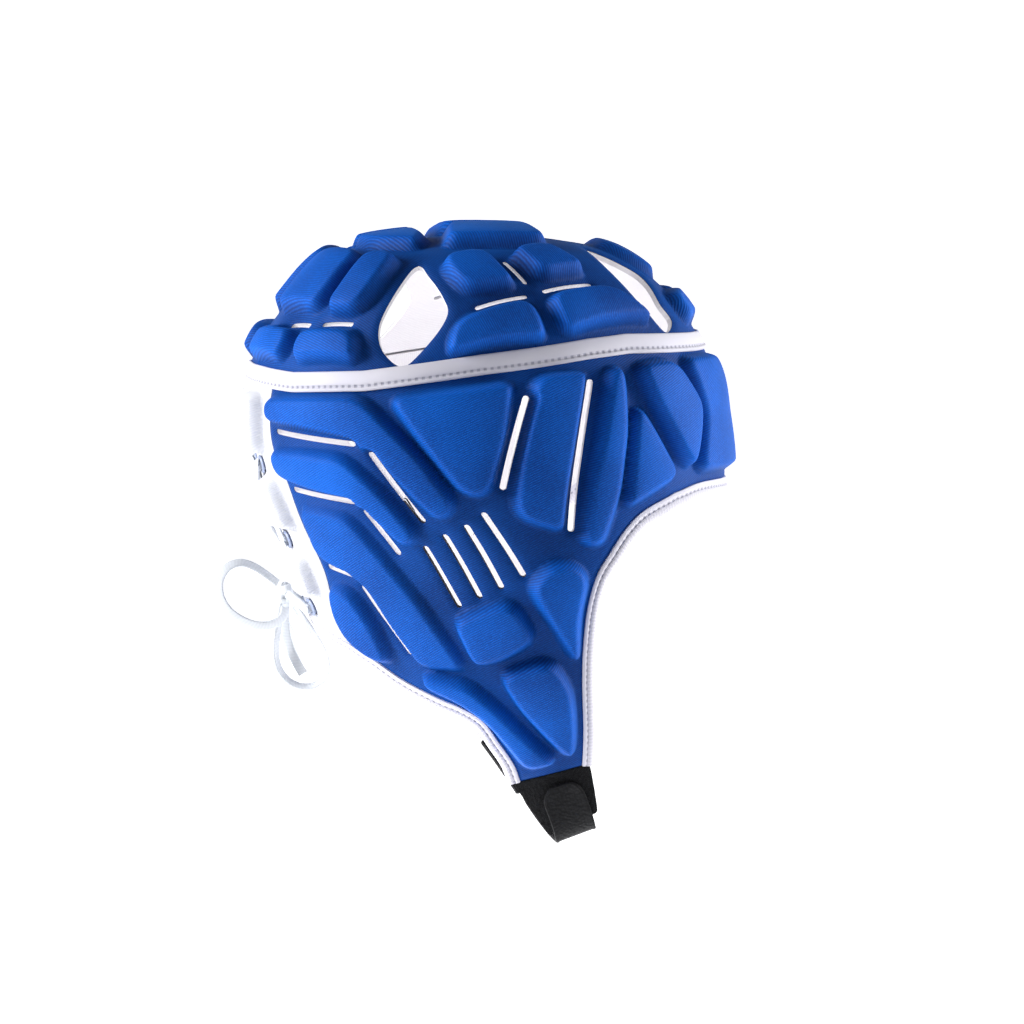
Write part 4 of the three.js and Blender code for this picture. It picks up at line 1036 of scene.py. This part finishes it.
def crown_relief(flat):
    both_sides = pad_relief(folded(flat), CROWN_PADS, CrownLayout)
    return np.maximum(both_sides, pad_relief(flat, [BROW_PETAL_PAD], CrownLayout))


class CAP_OT_crown(bpy.types.Operator):
    """Adds the crown: four petals of padding with openings between them."""

    bl_idname = "scrum_cap.crown"
    bl_label = "Crown"

    def execute(self, context):
        reach = 1.1 * LEVEL_RUN
        shape = padded_sheet((-reach, -reach), (reach, reach), crown_inside, crown_relief, CrownLayout)
        materials = shared("Blue knitted polyester", "Cut EVA foam", "Pale knitted lining")
        add_piece("crown_padding", shape, materials, "crown")
        return {"FINISHED"}


def top_edge(angles):
    angles = np.asarray(angles, float)
    return np.stack([angles, band_level(angles) + BAND_GAP / 2 / LEVEL_RUN], axis=1)


def seam():
    """The edge between a side panel and its nape panel, from the tape down."""
    return smooth_places([top_edge([SEAM_TOP_ANGLE])[0], *SEAM_LINE], 60)


def side_outline():
    """The side panel's outline in flat millimetres, from the brow's middle round to the seam,
    along the neck to the chin, and up the face."""
    neck = smooth_places(NECK_LINE, 70)
    cheek = smooth_places(CHEEK_LINE, 80)[::-1]
    brow = smooth_places(BROW_LINE, 40)[::-1]
    top = top_edge(np.linspace(0.1, SEAM_TOP_ANGLE, 90))
    return SideLayout.flat(np.concatenate([top, seam()[1:], neck[1:], cheek, brow[1:]]))


def nape_outline():
    """The nape panel's outline in flat millimetres, from the lace's gap along the tape to the
    seam, down it, and back along the neck."""
    rear = seam() + [SEAM_GAP / DEGREE_RUN, 0]
    edge = smooth_places(NAPE_LINE, 20)
    top = top_edge(np.linspace(LACE_GAP_ANGLE, SEAM_TOP_ANGLE + SEAM_TOP_GAP_ANGLE, 20))
    corner = [[LACE_GAP_ANGLE, NAPE_LINE[-1][1]]]
    return SideLayout.flat(np.concatenate([top, rear[1:], edge[1:], corner]))


def panel(outline, pads, cuts):
    """A padded sheet inside an outline, less each cut that a distance function describes."""
    def inside(flat):
        value = polygon_distance(flat, outline)
        for distance in cuts:
            value = np.minimum(value, distance(flat))
        return value

    def relief(flat):
        return pad_relief(flat, pads, SideLayout)

    return padded_sheet(outline.min(0) - 2, outline.max(0) + 2, inside, relief, SideLayout)


class CAP_OT_side_panels(bpy.types.Operator):
    """Adds the blue side panels with their pads and slits."""

    bl_idname = "scrum_cap.side_panels"
    bl_label = "Side panels"

    def execute(self, context):
        width = sizes().slit_width
        slits = [lambda p, slit=slit: capsule_distance(p, slit, width, SideLayout) for slit in SIDE_SLITS]
        shape = panel(side_outline(), SIDE_PADS, slits)
        materials = shared("Blue knitted polyester", "Cut EVA foam", "Pale knitted lining")
        add_pair("side_padding", shape, materials, "side_panel")
        return {"FINISHED"}


class CAP_OT_nape_panels(bpy.types.Operator):
    """Adds the white nape panels with their pads and lace holes."""

    bl_idname = "scrum_cap.nape_panels"
    bl_label = "Nape panels"

    def execute(self, context):
        holes = [lambda p, middle=middle: np.linalg.norm(p - middle, axis=1) - HOLE_RADIUS
                 for middle in SideLayout.flat(LACE_HOLES)]
        shape = panel(nape_outline(), NAPE_PADS, holes)
        materials = shared("White knitted polyester", "Cut EVA foam", "Pale knitted lining")
        add_pair("nape_padding", shape, materials, "nape_panel")
        return {"FINISHED"}


class CAP_OT_headband_tape(bpy.types.Operator):
    """Adds the tape over the seam between the crown and the sides."""

    bl_idname = "scrum_cap.headband_tape"
    bl_label = "Headband tape"

    def execute(self, context):
        angle = np.linspace(0, 360, 480, endpoint=False)
        angle = np.where(angle > 180, angle - 360, angle)
        path, across, out = on_sheet(np.stack([angle, band_level(angle)], axis=1), TAPE_LIFT, closed=True)
        shape = sweep(path, across, out, np.array(TAPE_SECTION) * [sizes().tape_width / 2, 1], closed=True)
        add_piece("headband_tape_sewn", shape, shared("Sewn knitted tape"), "headband_tape")
        return {"FINISHED"}


def binding(places, widths):
    """A folded tape round a panel's edge: flat next to the panel, sunk at the sewn line, and
    rolled over the edge."""
    path, across, out = on_sheet(places, -WALL / 2)
    step, height, fixed = BINDING_SECTION.T
    scale = np.where(fixed == 1, 1.0, widths[:, None])
    profiles = np.stack([step * scale, np.broadcast_to(height, scale.shape)], axis=-1)
    return sweep(path, across, out, profiles)


class CAP_OT_bindings(bpy.types.Operator):
    """Adds the binding round the face opening and along the neck."""

    bl_idname = "scrum_cap.bindings"
    bl_label = "Bindings"

    def execute(self, context):
        s = sizes()
        material = shared("Ribbed binding")
        right = np.concatenate([smooth_places(BROW_LINE, 50), smooth_places(CHEEK_LINE, 110)[1:]])
        face = np.concatenate([right[::-1], right[1:] * [-1, 1]])
        share = np.minimum(1, BINDING_TAPER * np.abs(np.linspace(-1, 1, len(face))))
        widths = s.brow_binding + (s.chin_binding - s.brow_binding) * share
        add_piece("face_binding_roll", binding(face, widths), material, "face_binding")
        neck = np.concatenate([smooth_places(NAPE_LINE, 30)[::-1], smooth_places(NECK_LINE, 110)[1:]])
        shape = binding(neck, np.full(len(neck), s.neck_binding))
        add_pair("neck_binding_roll", shape, material, "neck_binding")
        return {"FINISHED"}


def patch_outline():
    """The patch's outline in flat millimetres, past the chin's corners, with a rough edge."""
    front, rear = SideLayout.flat([CHEEK_LINE[-1], NECK_LINE[-1]])
    past = unit(rear - front) * PATCH_OVERHANG
    down = np.array([0, SEAM_GAP])
    corners = [front - past + down, rear + past + down, *SideLayout.flat(PATCH_END)[::-1]]
    outline = rounded_polygon(corners, PATCH_CORNER)
    return outline + PATCH_ROUGH * np.sin(np.arange(len(outline)) * GOLDEN_TURN)[:, None]


class CAP_OT_chin_patches(bpy.types.Operator):
    """Adds the black hook-and-loop patches at the ends of the side panels."""

    bl_idname = "scrum_cap.chin_patches"
    bl_label = "Chin patches"

    def execute(self, context):
        outline = patch_outline()
        flat, faces, rim = clipped_grid(outline.min(0) - 1, outline.max(0) + 1, PATCH_STEP,
                                        lambda p: polygon_distance(p, outline))
        x, y = flat.T
        fuzz = PATCH_FUZZ * np.sin(x * 5.1 + 2 * np.sin(y * 3.7)) * np.sin(y * 4.3 + x)
        places = SideLayout.place(flat)
        outer = sheet_points(places, (PATCH_THICK - WALL) / 2 + fuzz)
        inner = sheet_points(places, -(PATCH_THICK + WALL) / 2 - fuzz)
        n, (a, b) = len(flat), rim.T
        walls = [np.stack([b, a, a + n], 1), np.stack([b, a + n, b + n], 1)]
        shape = Shape(np.concatenate([outer, inner]), [np.concatenate([faces, faces[:, ::-1] + n, *walls])])
        add_pair("loop_patch", shape, shared("Nylon loop pile"), "chin_patch")
        return {"FINISHED"}


def strap_across(path, along, from_end, tab, down, tab_length):
    """The strap's width direction: along the patch on each tab, and level under the chin, with
    a smooth change at the fold."""
    s = sizes()
    level = unit(np.cross([1.0, 0, 0], down))
    lying = unit(np.cross(tab[-1] - tab[0], outward(np.array(TAB_LINE[1:2]))[0]))
    lying = lying * np.sign(lying @ level)
    share = np.clip((from_end - tab_length + s.strap_thick) / (s.strap_width + s.strap_thick), 0, 1)
    share = smooth_step(share)[:, None]
    hint = np.where(path[:, :1] < 0, lying, lying * [-1, 1, 1]) * (1 - share) + level * share
    return unit(hint - along * (hint * along).sum(1, keepdims=True))


class CAP_OT_chin_strap(bpy.types.Operator):
    """Adds the chin strap, from the tab on one patch to the tab on the other."""

    bl_idname = "scrum_cap.chin_strap"
    bl_label = "Chin strap"

    def execute(self, context):
        s = sizes()
        lie = (PATCH_THICK - WALL) / 2 + SEAM_GAP + s.strap_thick / 2
        tab = sheet_points(TAB_LINE, lie)
        fold = sheet_points(TAB_FOLD, lie - s.strap_thick / 2)[0]
        down = unit((tab[-1] - tab[0]) * [0, 1, 1])
        under = [fold * [q, 1, 1] + down * (s.strap_thick + STRAP_SAG * (1 - q * q)) for q in STRAP_SPREAD]
        half = np.array([*tab, fold, *under])
        path = smooth_line(np.concatenate([half, half[-2::-1] * [-1, 1, 1]]), 260)
        run = np.linspace(0, distance_along(path)[-1], len(path))
        from_end = np.minimum(run, run[::-1])
        along = tangents(path)
        across = strap_across(path, along, from_end, tab, down, np.linalg.norm(fold - tab[0]))
        # The ends are half circles, blunt at the tip.
        radius = s.strap_width / 2
        short = np.clip(1 - (from_end + TAB_BLUNT * radius) / radius, 0, 1)
        halves = np.stack([radius * np.sqrt(1 - short ** 2), np.full(len(path), s.strap_thick / 2)], axis=1)
        out = np.cross(across, along)
        out = out * np.sign((out * (path * [1, 0, 1] - [0, 0, -200])).sum(1, keepdims=True))
        shape = sweep(path, across, out, STRAP_SECTION * halves[:, None])
        add_piece("hook_strap", shape, shared("Nylon hook tape"), "chin_strap", sharp=40)
        return {"FINISHED"}


class CAP_OT_eyelets(bpy.types.Operator):
    """Adds the moulded rings in the lace holes."""

    bl_idname = "scrum_cap.eyelets"
    bl_label = "Eyelets"

    def execute(self, context):
        turn = np.linspace(0, 2 * math.pi, 40, endpoint=False)[:, None]
        for number, hole in enumerate(LACE_HOLES, 1):
            place = np.array([hole], float)
            normal = outward(place)[0]
            across = unit(np.cross(normal, [0, 0, 1.0]))
            ring = np.cos(turn) * across + np.sin(turn) * np.cross(normal, across)
            path, out = np.repeat(outer_points(place), len(turn), 0), np.repeat(normal[None], len(turn), 0)
            shape = sweep(path, ring, out, EYELET_SECTION, closed=True)
            add_pair("eyelet_ring", shape, shared("Moulded nylon eyelet"), "eyelet",
                     number=f"_{number}")
        return {"FINISHED"}


def backdrop():
    """A floor that runs away from the camera, level for the first half of its rows and then
    bent up in a quarter circle."""
    t = np.linspace(0, 1, FLOOR_ROWS)
    turn = np.clip((t - 0.5) * 2, 0, 1) * math.pi / 2
    level = FLOOR_NEAR + (FLOOR_FAR - FLOOR_NEAR) * t * 2
    run = np.where(t < 0.5, level, FLOOR_FAR + FLOOR_BEND * np.sin(turn))
    rise = FLOOR_LEVEL + FLOOR_BEND * (1 - np.cos(turn))
    back = camera_back(CAMERA_AZIMUTH, 0)
    ahead, side = np.array([-back.x, -back.y, 0]), np.array([back.y, -back.x, 0])
    rows = ahead * run[:, None] + [0, 0, 1] * rise[:, None]
    points = rows[:, None] + side * [[-FLOOR_HALF], [FLOOR_HALF]]
    i = np.arange(FLOOR_ROWS - 1) * 2
    return Shape(points.reshape(-1, 3), [np.stack([i + 2, i + 3, i + 1, i], axis=1)])


def soft_light(name, direction, distance, size, watts):
    data = bpy.data.lights.new(name, "AREA")
    data.shape = "RECTANGLE"
    data.size, data.size_y = size
    data.energy = watts
    light = bpy.data.objects.new(name, data)
    aim = Vector(direction).normalized()
    light.location = Vector(LIGHT_TARGET) + aim * distance
    light.rotation_euler = aim.to_track_quat("Z", "Y").to_euler()
    bpy.context.scene.collection.objects.link(light)


class CAP_OT_stage(bpy.types.Operator):
    """Adds the pale floor, the soft lights and the bright surround."""

    bl_idname = "scrum_cap.stage"
    bl_label = "Stage"

    def execute(self, context):
        floor = add_mesh("studio_floor", backdrop(), shared("Matt paper floor"))
        for light in LIGHTS:
            soft_light(*light)
        world = bpy.data.worlds.new("Studio")
        world.use_nodes = True
        background = world.node_tree.nodes["Background"]
        background.inputs["Color"].default_value = SURROUND_COLOUR
        background.inputs["Strength"].default_value = SURROUND_STRENGTH
        context.scene.world = world
        context.scene.view_settings.view_transform = "Standard"
        return {"FINISHED"}


class CAP_PT_panel(bpy.types.Panel):
    """Lists the operators in the order in which they run."""

    bl_idname = "CAP_PT_panel"
    bl_label = "Scrum Cap"
    bl_space_type = "VIEW_3D"
    bl_region_type = "UI"
    bl_category = "Scrum Cap"

    def draw(self, context):
        for operator in OPERATORS:
            self.layout.operator(operator.bl_idname)
        for group in (context.scene.cap_sizes, context.scene.cap_colours):
            box = self.layout.box()
            for name in group.__annotations__:
                box.prop(group, name)


OPERATORS = (
    CAP_OT_camera, CAP_OT_free_lace, CAP_OT_held_lace, CAP_OT_crown, CAP_OT_side_panels, CAP_OT_nape_panels,
    CAP_OT_headband_tape, CAP_OT_bindings, CAP_OT_chin_patches, CAP_OT_chin_strap, CAP_OT_eyelets,
    CAP_OT_stage,
)
CLASSES = (CapSizes, CapColours, *OPERATORS, CAP_PT_panel)


def register():
    for cls in CLASSES:
        bpy.utils.register_class(cls)
    bpy.types.Scene.cap_sizes = PointerProperty(type=CapSizes)
    bpy.types.Scene.cap_colours = PointerProperty(type=CapColours)


def unregister():
    del bpy.types.Scene.cap_colours
    del bpy.types.Scene.cap_sizes
    for cls in reversed(CLASSES):
        bpy.utils.unregister_class(cls)


def main():
    register()
    for operator in OPERATORS:
        group, name = operator.bl_idname.split(".")
        getattr(getattr(bpy.ops, group), name)()


if __name__ == "__main__":
    main()
